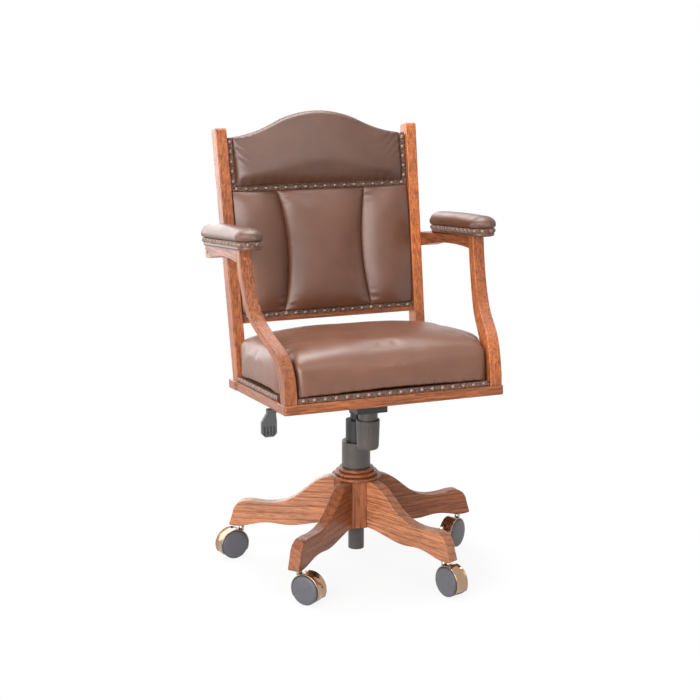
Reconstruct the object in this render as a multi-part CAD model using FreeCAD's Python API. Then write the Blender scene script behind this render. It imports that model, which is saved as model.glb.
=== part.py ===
import FreeCAD, Part
import os
from math import asin, cos, degrees, pi, radians, sin, sqrt, tan

# A swivel and tilt desk chair with an oak frame, leather upholstery and a five-legged oak base.
# Millimetres. X is to the right of someone facing the chair, Y to the back, Z up.
# The origin is on the floor under the column. Seat, back and arms are modelled square
# and level in their own frame, and are leaned back together at the end.

V = FreeCAD.Vector
X_AXIS = V(1, 0, 0)
Y_AXIS = V(0, 1, 0)
Z_AXIS = V(0, 0, 1)
ORIGIN = V(0, 0, 0)

# Clearances
SNUG = 0.05            # radial gap of a pin or a bush in its bore
RUNNING = 0.3          # gap between parts that move past each other
SOFT = 0.5             # gap between a soft part and its neighbour

# Seat frame: four flat oak boards
SEAT_HEIGHT = 453.7    # top of the boards over the floor, above the column
SEAT_PITCH = 5.24      # backward lean of the seat at rest, degrees
SEAT_FRONT_WIDTH = 530.0
SEAT_BACK_WIDTH = 511.0
SEAT_DEPTH = 457.0
COLUMN_TO_FRONT = 251.5
BOARD_THICK = 22.0
BOARD_WIDTH = 60.0
SIDE_BOARD_INSET = 4.0   # side boards stop short of the ends of the other two
BOARD_END_ROUND = 6.0
CLEAT_WIDTH = 60.0       # cross cleats that carry the tilt plate
CLEAT_SPACING = 150.0

# Seat cushion on its plywood base
BASE_THICK = 12.0
CUSHION_INSET = 5.0      # cushion edge behind the outer face of the side boards
CUSHION_FRONT_INSET = 7.5
CUSHION_BULGE = 3.0
CUSHION_HEIGHT = 114.0   # crown over the plywood base
CUSHION_CORNER = 30.0

# Back posts
BACK_RAKE = 5.04         # lean of the posts from square to the seat, degrees
POST_HEIGHT = 608.0
POST_WIDTH = 27.0
POST_DEPTH = 40.0
POST_FOOT_SPAN = 499.4   # over the outer faces, at the seat
POST_HEAD_SPAN = 521.0   # over the outer faces, at the top
POST_FRONT = 144.75      # front face of the posts behind the column, at the seat
POST_TOP_ROUND = 7.0
EDGE_ROUND = 2.5         # eased wooden edges

# Back panel between the posts
PANEL_GAP = 2.5          # from the cushions to each post
PANEL_THICK = 12.0
PANEL_SETBACK = 16.0     # front of the plywood behind the front of the posts
BOTTOM_RAIL_LOW = 138.0
BOTTOM_RAIL_HEIGHT = 22.0
BOTTOM_RAIL_DEPTH = 30.0
BOTTOM_RAIL_SETBACK = 8.0
HEADREST_LOW = 467.0     # over the strip between the two back cushions
HEADREST_SIDE = 585.0    # where the headrest meets the posts
CREST_HEIGHT = 646.0     # top of the crest
CREST_SHOULDER = 626.0   # where the crest turns from hollow to round
CREST_SHOULDER_X = 98.0
CREST_HOLLOW = 4.0       # depth of the hollow curve beside the posts
CREST_RISE = 0.3         # slope of the crest beside the posts
HEADREST_PROUD = 22.0    # crown in front of the posts
LOWER_PROUD = 16.0
CHANNEL_WAIST = 96.0     # half width of the middle channel where it is narrowest
CHANNEL_FLARE = 18.0     # how much wider it is at the top and at the bottom
COVER_THICK = 5.0        # leather panel on the back
WRAP_THICK = 4.0         # leather of the headrest over the panel's crest

# Arm posts, sawn to the same S from the side and from the front
ARM_HEIGHT = 332.0
ARM_POST_WIDTH = 29.0
ARM_POST_SETBACK = 3.5   # post front behind the front of the board
ARM_POST_INSET = 3.0
ARM_SWEEP = 159.0        # how far the top lies behind the foot
ARM_FLARE = 40.4         # how far the top lies outside the foot
# height share, sweep share, depth from front to back
ARM_CURVE = [(0.0, 0.0, 33.0), (0.18, 0.03, 41.0), (0.30, 0.135, 47.0), (0.42, 0.43, 45.0),
             (0.54, 0.73, 34.0), (0.66, 0.87, 29.0), (0.82, 0.965, 27.0), (1.0, 1.0, 28.0)]

# Arm rails
RAIL_BACK_THICK = 45.0
RAIL_DEEP = 33.0         # at the back post
RAIL_SHALLOW = 21.0      # at the top of the arch
RAIL_END_SETBACK = 16.0  # rail ends ahead of the back of the post
RAIL_END_ROUND = 10.0

# Arm pads
PAD_LENGTH = 303.0
PAD_WIDTH = 64.0
PAD_FRONT = -144.0       # front end, from the column
PAD_SPREAD = 286.5       # pad centre from the chair's centre plane, at the front end
PAD_TOE = 8.0            # how much further out the back end lies
PAD_BOARD_THICK = 20.0
PAD_CROWN = 33.0

# Decorative tacks and their strips
STRIP_HEIGHT = 11.0
STRIP_THICK = 2.0
BACK_STRIP_THICK = 6.0   # strips around the headrest lie on a roll of padding
TACK_RADIUS = 4.8
TACK_HEIGHT = 2.6
TACK_PITCH = 25.0

# Five-legged base
LEG_COUNT = 5
FIRST_LEG_ANGLE = 149.7  # left leg, degrees from the X axis
LEG_THICK = 29.6
LEG_RADIUS = 314.0
HUB_APOTHEM = 51.5
HUB_LOW = 101.0
HUB_HIGH = 216.0
CAP_RADIUS = 60.0
CAP_STEP = 8.5
CAP_STEPS = 3
CAP_SHRINK = 8.5
DOWEL_RADIUS = 5.0
DOWEL_LENGTH = 50.0
DOWEL_HEIGHTS = [128.0, 188.0]
PLATE_THICK = 3.0
PLATE_RADIUS = 46.0

# Gas column
TUBE_RADIUS = 25.0
TUBE_WALL = 2.0
TUBE_TOP = 358.7
NOSE_RADIUS = 19.3
NOSE_LOW = 35.5
NOSE_FLOOR = 4.0
COLLAR_RADIUS = 34.3
COLLAR_WALL = 3.0
COLLAR_HEIGHT = 65.0
PRESSURE_RADIUS = 14.0
PRESSURE_WALL = 2.0
PRESSURE_LOW = 150.0
PRESSURE_HIGH = 398.0
PRESSURE_PLUG = 8.0      # end plugs of the pressure tube
BUSH_LENGTH = 58.0
ROD_RADIUS = 5.0
PISTON_LOW = 264.0
PISTON_THICK = 12.0
LIFT_TRAVEL = 100.0
BUTTON_RADIUS = 3.0
BUTTON_PROUD = 6.0

# Tilt control
HOUSING_WIDTH = 76.0
HOUSING_FRONT = -104.0
HOUSING_BACK = 40.0
HOUSING_LOW = 398.0
HOUSING_WALL = 3.0
HOUSING_FRONT_HEIGHT = 24.0
HOUSING_BACK_HEIGHT = 14.0
SOCKET_RADIUS = 17.0
SOCKET_LENGTH = 22.0
PIVOT_Y = 24.0
PIVOT_Z = 408.0
PIVOT_RADIUS = 5.0
PIVOT_HEAD = 3.0
TILT_RANGE = 10.0        # degrees
TILT_PLATE_THICK = 3.0
TILT_PLATE_HALF = 105.0
TILT_PLATE_FRONT = -112.0
TILT_PLATE_BACK = 70.0
FLANGE_REACH = 14.0      # flange around the pivot pin
BOLT_Y = -76.0
BOLT_RADIUS = 5.0
TRUNNION_RADIUS = 4.0
TRUNNION_LENGTH = 30.0
BOLT_RISE = 18.9         # lift of the bolt over the whole tilt
KNOB_RADIUS = 28.0
KNOB_RIM = 378.0
KNOB_LOW = 306.0
KNOB_FLOOR = 16.0
KNOB_TAPER = 2.0
KNOB_RIBS = 14
KNOB_RIB_RADIUS = 2.8
CUP_RADIUS = 23.0
CUP_WALL = 1.5
CUP_LENGTH = 36.0
SPRING_WIRE = 6.0
SPRING_TURNS = 6
LEVER_Y = -20.0
LEVER_Z = 406.0
LEVER_RADIUS = 4.0
LEVER_REACH = 219.0
LEVER_HUB_RADIUS = 6.5
PADDLE_WIDTH = 37.0
PADDLE_LENGTH = 62.0
PADDLE_THICK = 9.0
CRANK_LENGTH = 24.0
CRANK_WIDTH = 10.0
CRANK_THICK = 4.0
BOLT_HEAD_RADIUS = 7.0
BOLT_HEAD_HEIGHT = 4.0
MOUNT_BOLT_RADIUS = 3.5

# Hooded twin-wheel casters
STEM_CIRCLE = 286.6
WHEEL_RADIUS = 34.5
WHEEL_THICK = 14.5
WHEEL_SPLIT = 10.0       # gap between the two wheels
CASTER_TRAIL = 26.0
HOOD_GAP = 1.7
HOOD_WALL = 1.4
HOOD_HALF_WIDTH = 16.5
HOOD_DROOP = 30.0        # how far the hood reaches below the axle's level, degrees
WEB_THICK = 9.0
AXLE_RADIUS = 4.0
STEM_COLLAR_RADIUS = 7.0
STEM_PIN_RADIUS = 5.5
STEM_PIN_LENGTH = 34.0
SOCKET_WALL = 1.2
SOCKET_FLANGE = 9.8
# direction in which each caster trails from its stem, degrees from the X axis
CASTER_ANGLES = {"left": -168.5, "front_left": -54.5, "front_right": -73.0, "right": -144.0,
                 "back": 62.0}
LEG_NAMES = ["left", "front_left", "front_right", "right", "back"]


# Small helpers

def block(x0, x1, y0, y1, z0, z1):
    return Part.makeBox(x1 - x0, y1 - y0, z1 - z0, V(x0, y0, z0))


def post_at(radius, z0, z1, x=0.0, y=0.0):
    return Part.makeCylinder(radius, z1 - z0, V(x, y, z0), Z_AXIS)


def rod_along_x(radius, x0, x1, y, z):
    return Part.makeCylinder(radius, x1 - x0, V(x0, y, z), X_AXIS)


def turned(profile):
    """A solid turned about Z from points of radius and height."""
    points = [V(r, 0, z) for r, z in profile]
    wire = Part.makePolygon(points + points[:1])
    return Part.Face(wire).revolve(ORIGIN, Z_AXIS, 360)


def smooth(points):
    curve = Part.BSplineCurve()
    curve.interpolate(points)
    return curve.toShape()


def closed_face(edges):
    return Part.Face(Part.Wire(Part.__sortEdges__(edges)))


def line(a, b):
    return Part.LineSegment(a, b).toShape()


def arc(a, b, c):
    return Part.Arc(a, b, c).toShape()


def mirrored(shape):
    return shape.mirror(ORIGIN, X_AXIS)


def turned_copy(shape, angle, axis=Z_AXIS, centre=ORIGIN):
    copy = shape.copy()
    copy.rotate(centre, axis, angle)
    return copy


def moved(shape, x=0.0, y=0.0, z=0.0):
    copy = shape.copy()
    copy.translate(V(x, y, z))
    return copy


def eased(solid, radius, chooser):
    """Rounds the edges that the chooser picks."""
    edges = [edge for edge in solid.Edges if chooser(edge)]
    return solid.makeFillet(radius, edges) if edges else solid


def along(edge, axis):
    if not isinstance(edge.Curve, (Part.Line, Part.LineSegment)):
        return False
    start, end = edge.Vertexes[0].Point, edge.Vertexes[-1].Point
    return abs((end - start).normalize().dot(axis)) > 0.99


def rounded_outline(corners, radius, height):
    """A closed wire of lines and corner arcs at one height."""
    count = len(corners)
    edges = []
    ends = []
    for i, corner in enumerate(corners):
        here = V(corner[0], corner[1], height)
        before = V(*corners[i - 1], height) - here
        after = V(*corners[(i + 1) % count], height) - here
        half_turn = before.getAngle(after) / 2
        reach = radius / tan(half_turn)
        bisector = (before.normalize() + after.normalize()).normalize()
        middle = here + bisector * (radius / sin(half_turn) - radius)
        ends.append((here + before * reach, middle, here + after * reach))
    for i, (start, middle, end) in enumerate(ends):
        edges.append(arc(start, middle, end))
        edges.append(line(end, ends[(i + 1) % count][0]))
    return Part.Wire(edges)


def seat_to_room(shape):
    """Leans the seat frame back and lifts it over the column."""
    copy = shape.copy()
    copy.rotate(ORIGIN, X_AXIS, -SEAT_PITCH)
    copy.translate(V(0, 0, SEAT_HEIGHT))
    return copy


def back_to_seat(shape):
    """Leans the back frame on the seat frame. Y is depth behind the posts' front."""
    copy = shape.copy()
    copy.rotate(ORIGIN, X_AXIS, -BACK_RAKE)
    copy.translate(V(0, POST_FRONT, 0))
    return copy


# Seat frame

SEAT_FRONT = -COLUMN_TO_FRONT
SEAT_BACK = SEAT_DEPTH - COLUMN_TO_FRONT
SIDE_FRONT = SEAT_FRONT + BOARD_WIDTH
SIDE_BACK = SEAT_BACK - BOARD_WIDTH


def seat_half_width(y):
    """Half the width over the board ends, at a depth."""
    share = (y - SEAT_FRONT) / SEAT_DEPTH
    return (SEAT_FRONT_WIDTH + (SEAT_BACK_WIDTH - SEAT_FRONT_WIDTH) * share) / 2


def side_half_width(y):
    return seat_half_width(y) - SIDE_BOARD_INSET


def end_board(y0, y1):
    half0, half1 = seat_half_width(y0), seat_half_width(y1)
    outline = rounded_outline([(-half0, y0), (half0, y0), (half1, y1), (-half1, y1)],
                              BOARD_END_ROUND, -BOARD_THICK)
    board = Part.Face(outline).extrude(V(0, 0, BOARD_THICK))
    return eased(board, EDGE_ROUND, lambda edge: abs(edge.CenterOfMass.z + BOARD_THICK / 2)
                 > BOARD_THICK / 2 - 0.1)


def side_board():
    y0, y1 = SIDE_FRONT, SIDE_BACK
    outer0, outer1 = side_half_width(y0), side_half_width(y1)
    points = [(outer0, y0), (outer1, y1), (outer1 - BOARD_WIDTH, y1), (outer0 - BOARD_WIDTH, y0)]
    wire = Part.makePolygon([V(x, y, -BOARD_THICK) for x, y in points + points[:1]])
    return Part.Face(wire).extrude(V(0, 0, BOARD_THICK))


def cleats():
    inner = CLEAT_SPACING / 2 - CLEAT_WIDTH / 2
    cleat = block(inner, inner + CLEAT_WIDTH, SIDE_FRONT, SIDE_BACK, -BOARD_THICK, 0)
    holes = Part.makeCompound([hole for hole in mount_bolt_shanks(SNUG, 0) if hole.CenterOfMass.x > 0])
    right = cleat.cut(holes)
    return Part.makeCompound([right, mirrored(right)])


def mount_bolt_places():
    x = CLEAT_SPACING / 2
    y0, y1 = TILT_PLATE_FRONT + 22, TILT_PLATE_BACK - 22
    return [(-x, y0), (x, y0), (-x, y1), (x, y1)]


def mount_bolt_shanks(gap, short):
    low = -BOARD_THICK - TILT_PLATE_THICK
    return [post_at(MOUNT_BOLT_RADIUS + gap, low, -short, x, y) for x, y in mount_bolt_places()]


def mounting_bolts():
    low = -BOARD_THICK - TILT_PLATE_THICK
    bolts = []
    for shank, (x, y) in zip(mount_bolt_shanks(0, 4), mount_bolt_places()):
        head = post_at(BOLT_HEAD_RADIUS, low - BOLT_HEAD_HEIGHT, low, x, y)
        bolts.append(shank.fuse(head).removeSplitter())
    return Part.makeCompound(bolts)


# Seat cushion

NOTCH_FRONT = SEAT_FRONT + 75.5          # front notches end behind the arm posts
NOTCH_BACK = POST_FRONT - 2.3
BASE_FRONT = SEAT_FRONT + CUSHION_FRONT_INSET
BASE_BACK = POST_FRONT + 33.0


def arm_foot_inner():
    return seat_half_width(SEAT_FRONT) - ARM_POST_INSET - ARM_POST_WIDTH


def post_foot_inner():
    return POST_FOOT_SPAN / 2 - POST_WIDTH


def cushion_half_width(y):
    return side_half_width(y) - CUSHION_INSET


def cushion_notches(extra, z0, z1):
    """Room for the arm posts at the front corners and the back posts at the rear."""
    wide = SEAT_FRONT_WIDTH
    front_x = arm_foot_inner() - 2 - extra
    back_x = post_foot_inner() - 2 - extra
    front = block(front_x, wide, SEAT_FRONT - wide, NOTCH_FRONT + extra, z0, z1)
    back = block(back_x, wide, NOTCH_BACK - extra, wide, z0, z1)
    right = front.fuse(back)
    return right.fuse(mirrored(right))


def cushion_base():
    half0, half1 = cushion_half_width(BASE_FRONT), cushion_half_width(BASE_BACK)
    points = [(-half0, BASE_FRONT), (half0, BASE_FRONT), (half1, BASE_BACK), (-half1, BASE_BACK)]
    wire = Part.makePolygon([V(x, y, 0) for x, y in points + points[:1]])
    board = Part.Face(wire).extrude(V(0, 0, BASE_THICK))
    return board.cut(cushion_notches(0, -1, BASE_THICK + 1))


def seat_cushion():
    # share of the height, draw-in at the sides, at the front and at the back
    levels = [(0.0, 0.0, 0.0, 0.0), (0.28, -CUSHION_BULGE, -CUSHION_BULGE - 1, -2.0),
              (0.58, 1.0, 5.0, 3.0), (0.76, 12.0, 30.0, 20.0), (0.88, 36.0, 72.0, 52.0),
              (0.96, 82.0, 126.0, 96.0), (1.0, 158.0, 192.0, 148.0)]
    wires = []
    for share, side, front, back in levels:
        y0, y1 = BASE_FRONT + front, BASE_BACK - back
        half0, half1 = cushion_half_width(y0) - side, cushion_half_width(y1) - side
        corners = [(-half0, y0), (half0, y0), (half1, y1), (-half1, y1)]
        wires.append(rounded_outline(corners, CUSHION_CORNER, BASE_THICK + CUSHION_HEIGHT * share))
    crown = Part.makeLoft(wires, True, False)
    return crown.cut(cushion_notches(SOFT, 0, BASE_THICK + 2 * CUSHION_HEIGHT))


# Back

def post_outer(height):
    return (POST_FOOT_SPAN + (POST_HEAD_SPAN - POST_FOOT_SPAN) * height / POST_HEIGHT) / 2


def back_post():
    """The right back post in the seat frame, cut level where it stands on the board."""
    below = -20.0
    points = [(post_outer(below) - POST_WIDTH, below), (post_outer(below), below),
              (post_outer(POST_HEIGHT), POST_HEIGHT), (post_outer(POST_HEIGHT) - POST_WIDTH, POST_HEIGHT)]
    wire = Part.makePolygon([V(x, 0, z) for x, z in points + points[:1]])
    post = Part.Face(wire).extrude(V(0, POST_DEPTH, 0))
    post = eased(post, POST_TOP_ROUND, lambda edge: along(edge, X_AXIS)
                 and edge.CenterOfMass.z > POST_HEIGHT - 1)
    post = eased(post, EDGE_ROUND, lambda edge: edge.Length > POST_HEIGHT / 2)
    wide = POST_HEIGHT
    floor = block(-wide, wide, -wide, wide, -wide, 0)
    return back_to_seat(post).cut(floor)


def post_inner(height):
    return post_outer(height) - POST_WIDTH


RAIL_TOP = BOTTOM_RAIL_LOW + BOTTOM_RAIL_HEIGHT


def bottom_rail():
    z0, z1 = BOTTOM_RAIL_LOW, RAIL_TOP
    points = [(-post_inner(z0), z0), (post_inner(z0), z0), (post_inner(z1), z1), (-post_inner(z1), z1)]
    wire = Part.makePolygon([V(x, BOTTOM_RAIL_SETBACK, z) for x, z in points + points[:1]])
    rail = Part.Face(wire).extrude(V(0, BOTTOM_RAIL_DEPTH, 0))
    return back_to_seat(rail)


def panel_outline(low, gap, inset, depth):
    """Camel-back outline: flat foot, sides along the posts, hollow shoulders, round crest."""
    side = HEADREST_SIDE + gap * CREST_RISE - inset
    shoulder_x = CREST_SHOULDER_X - inset / 2
    shoulder = CREST_SHOULDER - inset
    crest = CREST_HEIGHT - inset
    foot = low + inset
    foot_x = post_inner(foot) - gap - inset
    side_x = post_inner(side) - gap - inset
    between_x = (side_x + shoulder_x) / 2
    between = (side + shoulder) / 2 - CREST_HOLLOW
    corners = {"foot": V(foot_x, depth, foot), "side": V(side_x, depth, side),
               "hollow": V(between_x, depth, between), "shoulder": V(shoulder_x, depth, shoulder)}
    flip = lambda point: V(-point.x, point.y, point.z)
    foot_r, side_r, hollow_r, shoulder_r = corners.values()
    return Part.Wire([
        line(flip(foot_r), foot_r),
        line(foot_r, side_r),
        arc(side_r, hollow_r, shoulder_r),
        arc(shoulder_r, V(0, depth, crest), flip(shoulder_r)),
        arc(flip(shoulder_r), flip(hollow_r), flip(side_r)),
        line(flip(side_r), flip(foot_r)),
    ])


def under_wrap(gap, wrap, depth):
    """Panel outline with its crest lowered to make room for the leather over it."""
    return panel_outline(RAIL_TOP - wrap, gap - wrap, wrap, depth)


def back_panel():
    outline = under_wrap(0, WRAP_THICK, PANEL_SETBACK)
    return back_to_seat(Part.Face(outline).extrude(V(0, PANEL_THICK, 0)))


def outside_back():
    front = PANEL_SETBACK + PANEL_THICK
    outline = under_wrap(SOFT, WRAP_THICK, front)
    return back_to_seat(Part.Face(outline).extrude(V(0, COVER_THICK, 0)))


def crest_wrap():
    """Band of leather over the crest, back to the outside of the back."""
    deep = PANEL_THICK + COVER_THICK
    outer = Part.Face(panel_outline(RAIL_TOP, PANEL_GAP, 0, PANEL_SETBACK)).extrude(V(0, deep, 0))
    inner = Part.Face(under_wrap(-PANEL_GAP, WRAP_THICK - RUNNING, PANEL_SETBACK - 1))
    return outer.cut(inner.extrude(V(0, deep + 2, 0)))


def headrest_cushion():
    # share of the thickness from the board forward, and draw-in of the outline
    levels = [(0.0, 1.0), (0.35, 1.0), (0.68, 5.5), (0.90, 20.0), (1.0, 42.0)]
    thick = PANEL_SETBACK + HEADREST_PROUD
    gap = PANEL_GAP + STRIP_HEIGHT
    wires = [panel_outline(HEADREST_LOW, gap, inset, PANEL_SETBACK - thick * share)
             for share, inset in levels]
    return back_to_seat(Part.makeLoft(wires, True, False).fuse(crest_wrap()))


def lower_back_cushion():
    low = RAIL_TOP
    high = HEADREST_LOW - STRIP_HEIGHT
    tall = high - low
    back = PANEL_SETBACK
    # share of the height, crown share
    levels = [(0.0, 0.35), (0.12, 0.85), (0.5, 1.0), (0.88, 0.85), (1.0, 0.45)]
    wires = []
    for share, crown in levels:
        z = low + tall * share
        seam = CHANNEL_WAIST + CHANNEL_FLARE * (2 * share - 1) ** 2
        front = back - (PANEL_SETBACK + LOWER_PROUD) * crown
        groove = back - (PANEL_SETBACK + LOWER_PROUD) * crown * 0.45
        edge = back - (PANEL_SETBACK + LOWER_PROUD) * crown * 0.4
        half = post_inner(z) - PANEL_GAP
        outer = (half + seam) / 2
        wires.append(Part.Wire([
            line(V(-half, back, z), V(half, back, z)),
            line(V(half, back, z), V(half, edge, z)),
            arc(V(half, edge, z), V(outer, front, z), V(seam, groove, z)),
            arc(V(seam, groove, z), V(0, front, z), V(-seam, groove, z)),
            arc(V(-seam, groove, z), V(-outer, front, z), V(-half, edge, z)),
            line(V(-half, edge, z), V(-half, back, z)),
        ]))
    return back_to_seat(Part.makeLoft(wires, True, False))


# Arms

ARM_FOOT_FRONT = SEAT_FRONT + ARM_POST_SETBACK
ARM_FOOT_OUTER = seat_half_width(SEAT_FRONT) - ARM_POST_INSET
ARM_HEAD_BACK = ARM_FOOT_FRONT + ARM_SWEEP + ARM_CURVE[-1][2]
ARM_HEAD_OUTER = ARM_FOOT_OUTER + ARM_FLARE


def arm_post():
    """The right arm post: an S sawn from the side, then the same S sawn from the front."""
    side_front = [V(0, ARM_FOOT_FRONT + ARM_SWEEP * sweep, ARM_HEIGHT * share)
                  for share, sweep, depth in ARM_CURVE]
    side_back = [point + V(0, depth, 0) for point, (share, sweep, depth) in zip(side_front, ARM_CURVE)]
    side = closed_face([smooth(side_front), smooth(side_back), line(side_front[0], side_back[0]),
                        line(side_front[-1], side_back[-1])]).extrude(V(SEAT_FRONT_WIDTH, 0, 0))
    outer = [V(ARM_FOOT_OUTER + ARM_FLARE * sweep, -SEAT_DEPTH, ARM_HEIGHT * share)
             for share, sweep, depth in ARM_CURVE]
    inner = [point - V(ARM_POST_WIDTH, 0, 0) for point in outer]
    front = closed_face([smooth(outer), smooth(inner), line(outer[0], inner[0]),
                         line(outer[-1], inner[-1])]).extrude(V(0, 2 * SEAT_DEPTH, 0))
    post = side.common(front)
    return eased(post, EDGE_ROUND, lambda edge: edge.Length > ARM_HEIGHT / 2).cut(plug_group_room())


def rail_back_inner():
    """Where the rail meets the post at its lower edge. The rest is scribed to the post."""
    return post_outer(ARM_HEIGHT - RAIL_DEEP)


def rail_back_end():
    return POST_FRONT + ARM_HEIGHT * tan(radians(BACK_RAKE)) + POST_DEPTH - RAIL_END_SETBACK


def arm_rail():
    """The right rail: its side profile and its tapering plan, sawn one after the other."""
    front = ARM_HEAD_BACK - 4
    back = rail_back_end()
    middle = front + (back - front) * 0.42
    low_back = ARM_HEIGHT - RAIL_DEEP
    low_middle = ARM_HEIGHT - RAIL_SHALLOW
    low_front = ARM_HEIGHT - RAIL_DEEP + 4
    top = [V(0, front, ARM_HEIGHT), V(0, back, ARM_HEIGHT)]
    lap = POST_FRONT + (low_back * tan(radians(BACK_RAKE)))
    low = [V(0, back, low_back), V(0, lap, low_back), V(0, front, low_front)]
    arch = arc(low[1], V(0, middle, low_middle), low[2])
    side = closed_face([line(*top), line(top[1], low[0]), line(low[0], low[1]), arch,
                        line(low[2], top[0])]).extrude(V(SEAT_FRONT_WIDTH, 0, 0))
    inner = rail_back_inner()
    plan_points = [V(ARM_HEAD_OUTER, front, 0), V(inner + RAIL_BACK_THICK, back, 0), V(inner, back, 0),
                   V(inner, lap, 0), V(ARM_HEAD_OUTER - ARM_POST_WIDTH, front, 0)]
    plan = Part.Face(Part.makePolygon(plan_points + plan_points[:1])).extrude(V(0, 0, ARM_HEIGHT * 2))
    rail = side.common(plan)
    rail = eased(rail, RAIL_END_ROUND, lambda edge: along(edge, X_AXIS)
                 and edge.CenterOfMass.y > back - 1 and edge.CenterOfMass.z < low_back + 1)
    return rail.cut([plug_group_room(), arm_post(), back_post()])


PLUG_RADIUS = 4.5
PLUG_PROUD = 1.6
PLUG_DEPTH = 6.0
PLUG_END = 17.0          # rear plug ahead of the end of the rail


def plug_places():
    """Centre and outward direction of the right side's two plugs."""
    back_x = rail_back_inner() + RAIL_BACK_THICK
    back_y = rail_back_end() - PLUG_END
    back = (V(back_x, back_y, ARM_HEIGHT - RAIL_DEEP * 0.52), X_AXIS)
    share, sweep, depth = ARM_CURVE[-1]
    front = (V(ARM_HEAD_OUTER - ARM_POST_WIDTH / 2, ARM_FOOT_FRONT + ARM_SWEEP * sweep,
               ARM_HEIGHT - RAIL_DEEP * 0.56), -Y_AXIS)
    return [back, front]


def plug_group_room():
    rooms = [Part.makeCylinder(PLUG_RADIUS, 2 * PLUG_DEPTH, place - out * PLUG_DEPTH, out)
             for place, out in plug_places()]
    return rooms[0].fuse(rooms[1])


def plugs():
    """Domed wooden plugs over the arm screws."""
    solids = []
    for place, out in plug_places():
        body = Part.makeCylinder(PLUG_RADIUS, PLUG_DEPTH + PLUG_PROUD, place - out * PLUG_DEPTH, out)
        crown = [edge for edge in body.Edges if (edge.CenterOfMass - place).dot(out) > PLUG_PROUD / 2]
        body = body.makeFillet(PLUG_PROUD * 0.8, crown)
        solids += [body, mirrored(body)]
    return Part.makeCompound(solids)


def pad_outline(inset, height):
    """A long rounded outline along the arm, slightly toed out to the back."""
    half = PAD_WIDTH / 2 - inset
    long_half = PAD_LENGTH / 2 - PAD_WIDTH / 2
    a = half * sqrt(0.5)
    points = {}
    front, back = -long_half, long_half
    wire = Part.Wire([
        line(V(half, front, height), V(half, back, height)),
        arc(V(half, back, height), V(a, back + a, height), V(0, back + half, height)),
        arc(V(0, back + half, height), V(-a, back + a, height), V(-half, back, height)),
        line(V(-half, back, height), V(-half, front, height)),
        arc(V(-half, front, height), V(-a, front - a, height), V(0, front - half, height)),
        arc(V(0, front - half, height), V(a, front - a, height), V(half, front, height)),
    ])
    return wire


def place_pad(shape):
    """Sets a pad's part on the right arm."""
    toe = degrees(asin(PAD_TOE / (PAD_LENGTH - PAD_WIDTH)))
    copy = shape.copy()
    copy.rotate(ORIGIN, Z_AXIS, -toe)
    copy.translate(V(PAD_SPREAD + PAD_TOE / 2, PAD_FRONT + PAD_LENGTH / 2, ARM_HEIGHT))
    return copy


PAD_BOARD_INSET = 6.0
PAD_BOARD_ROUND = 5.0
PAD_SKIRT_THICK = 1.0    # leather drawn down over the edge of the board
PAD_SKIRT_LOW = 1.5


def arm_pad_board():
    board = Part.Face(pad_outline(PAD_BOARD_INSET, 0)).extrude(V(0, 0, PAD_BOARD_THICK))
    board = eased(board, PAD_BOARD_ROUND, lambda edge: edge.CenterOfMass.z < 0.1)
    return place_pad(board)


def arm_pad():
    levels = [(0.0, 4.0), (0.14, 0.5), (0.40, 0.0), (0.68, 4.5), (0.88, 12.5), (1.0, 22.0)]
    wires = [pad_outline(inset, PAD_BOARD_THICK + PAD_CROWN * share) for share, inset in levels]
    crown = Part.makeLoft(wires, True, False)
    tall = PAD_BOARD_THICK - PAD_SKIRT_LOW
    skirt = Part.Face(pad_outline(PAD_BOARD_INSET - PAD_SKIRT_THICK, PAD_SKIRT_LOW)).extrude(V(0, 0, tall))
    room = Part.Face(pad_outline(PAD_BOARD_INSET - SNUG, 0)).extrude(V(0, 0, PAD_BOARD_THICK))
    return place_pad(crown.fuse(skirt.cut(room)))


# Strips under the tacks

STRIP_LOW = 0.5
PAD_STRIP_LOW = PAD_BOARD_THICK - STRIP_HEIGHT - SOFT


def seat_strips():
    """Front strip between the arm posts and one strip down each side."""
    z0, z1 = STRIP_LOW, STRIP_LOW + STRIP_HEIGHT
    half = arm_foot_inner() - 2
    front = block(-half, half, BASE_FRONT - STRIP_THICK, BASE_FRONT, z0, z1)
    y0, y1 = NOTCH_FRONT, NOTCH_BACK
    edge0, edge1 = cushion_half_width(y0), cushion_half_width(y1)
    points = [V(edge0, y0, z0), V(edge0 + STRIP_THICK, y0, z0), V(edge1 + STRIP_THICK, y1, z0),
              V(edge1, y1, z0)]
    side = Part.Face(Part.makePolygon(points + points[:1])).extrude(V(0, 0, STRIP_HEIGHT))
    return [front, side, mirrored(side)]


def back_strips():
    """Strip on the bottom rail, strip under the headrest and one up each side of it."""
    half = post_inner(RAIL_TOP) - PANEL_GAP
    low_y = BOTTOM_RAIL_SETBACK
    low = block(-half, half, low_y - STRIP_THICK, low_y, RAIL_TOP - STRIP_HEIGHT, RAIL_TOP)
    back, front = PANEL_SETBACK, PANEL_SETBACK - BACK_STRIP_THICK
    z0, z1, z2 = HEADREST_LOW - STRIP_HEIGHT, HEADREST_LOW, HEADREST_SIDE
    half = post_inner(z0) - PANEL_GAP
    middle = block(-half, half, front, back, z0, z1)
    edge1, edge2 = post_inner(z1) - PANEL_GAP, post_inner(z2) - PANEL_GAP
    points = [V(edge1, front, z1), V(edge2, front, z2), V(edge2 - STRIP_HEIGHT, front, z2),
              V(edge1 - STRIP_HEIGHT, front, z1)]
    side = Part.Face(Part.makePolygon(points + points[:1])).extrude(V(0, BACK_STRIP_THICK, 0))
    return [back_to_seat(strip) for strip in (low, middle, side, mirrored(side))]


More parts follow.
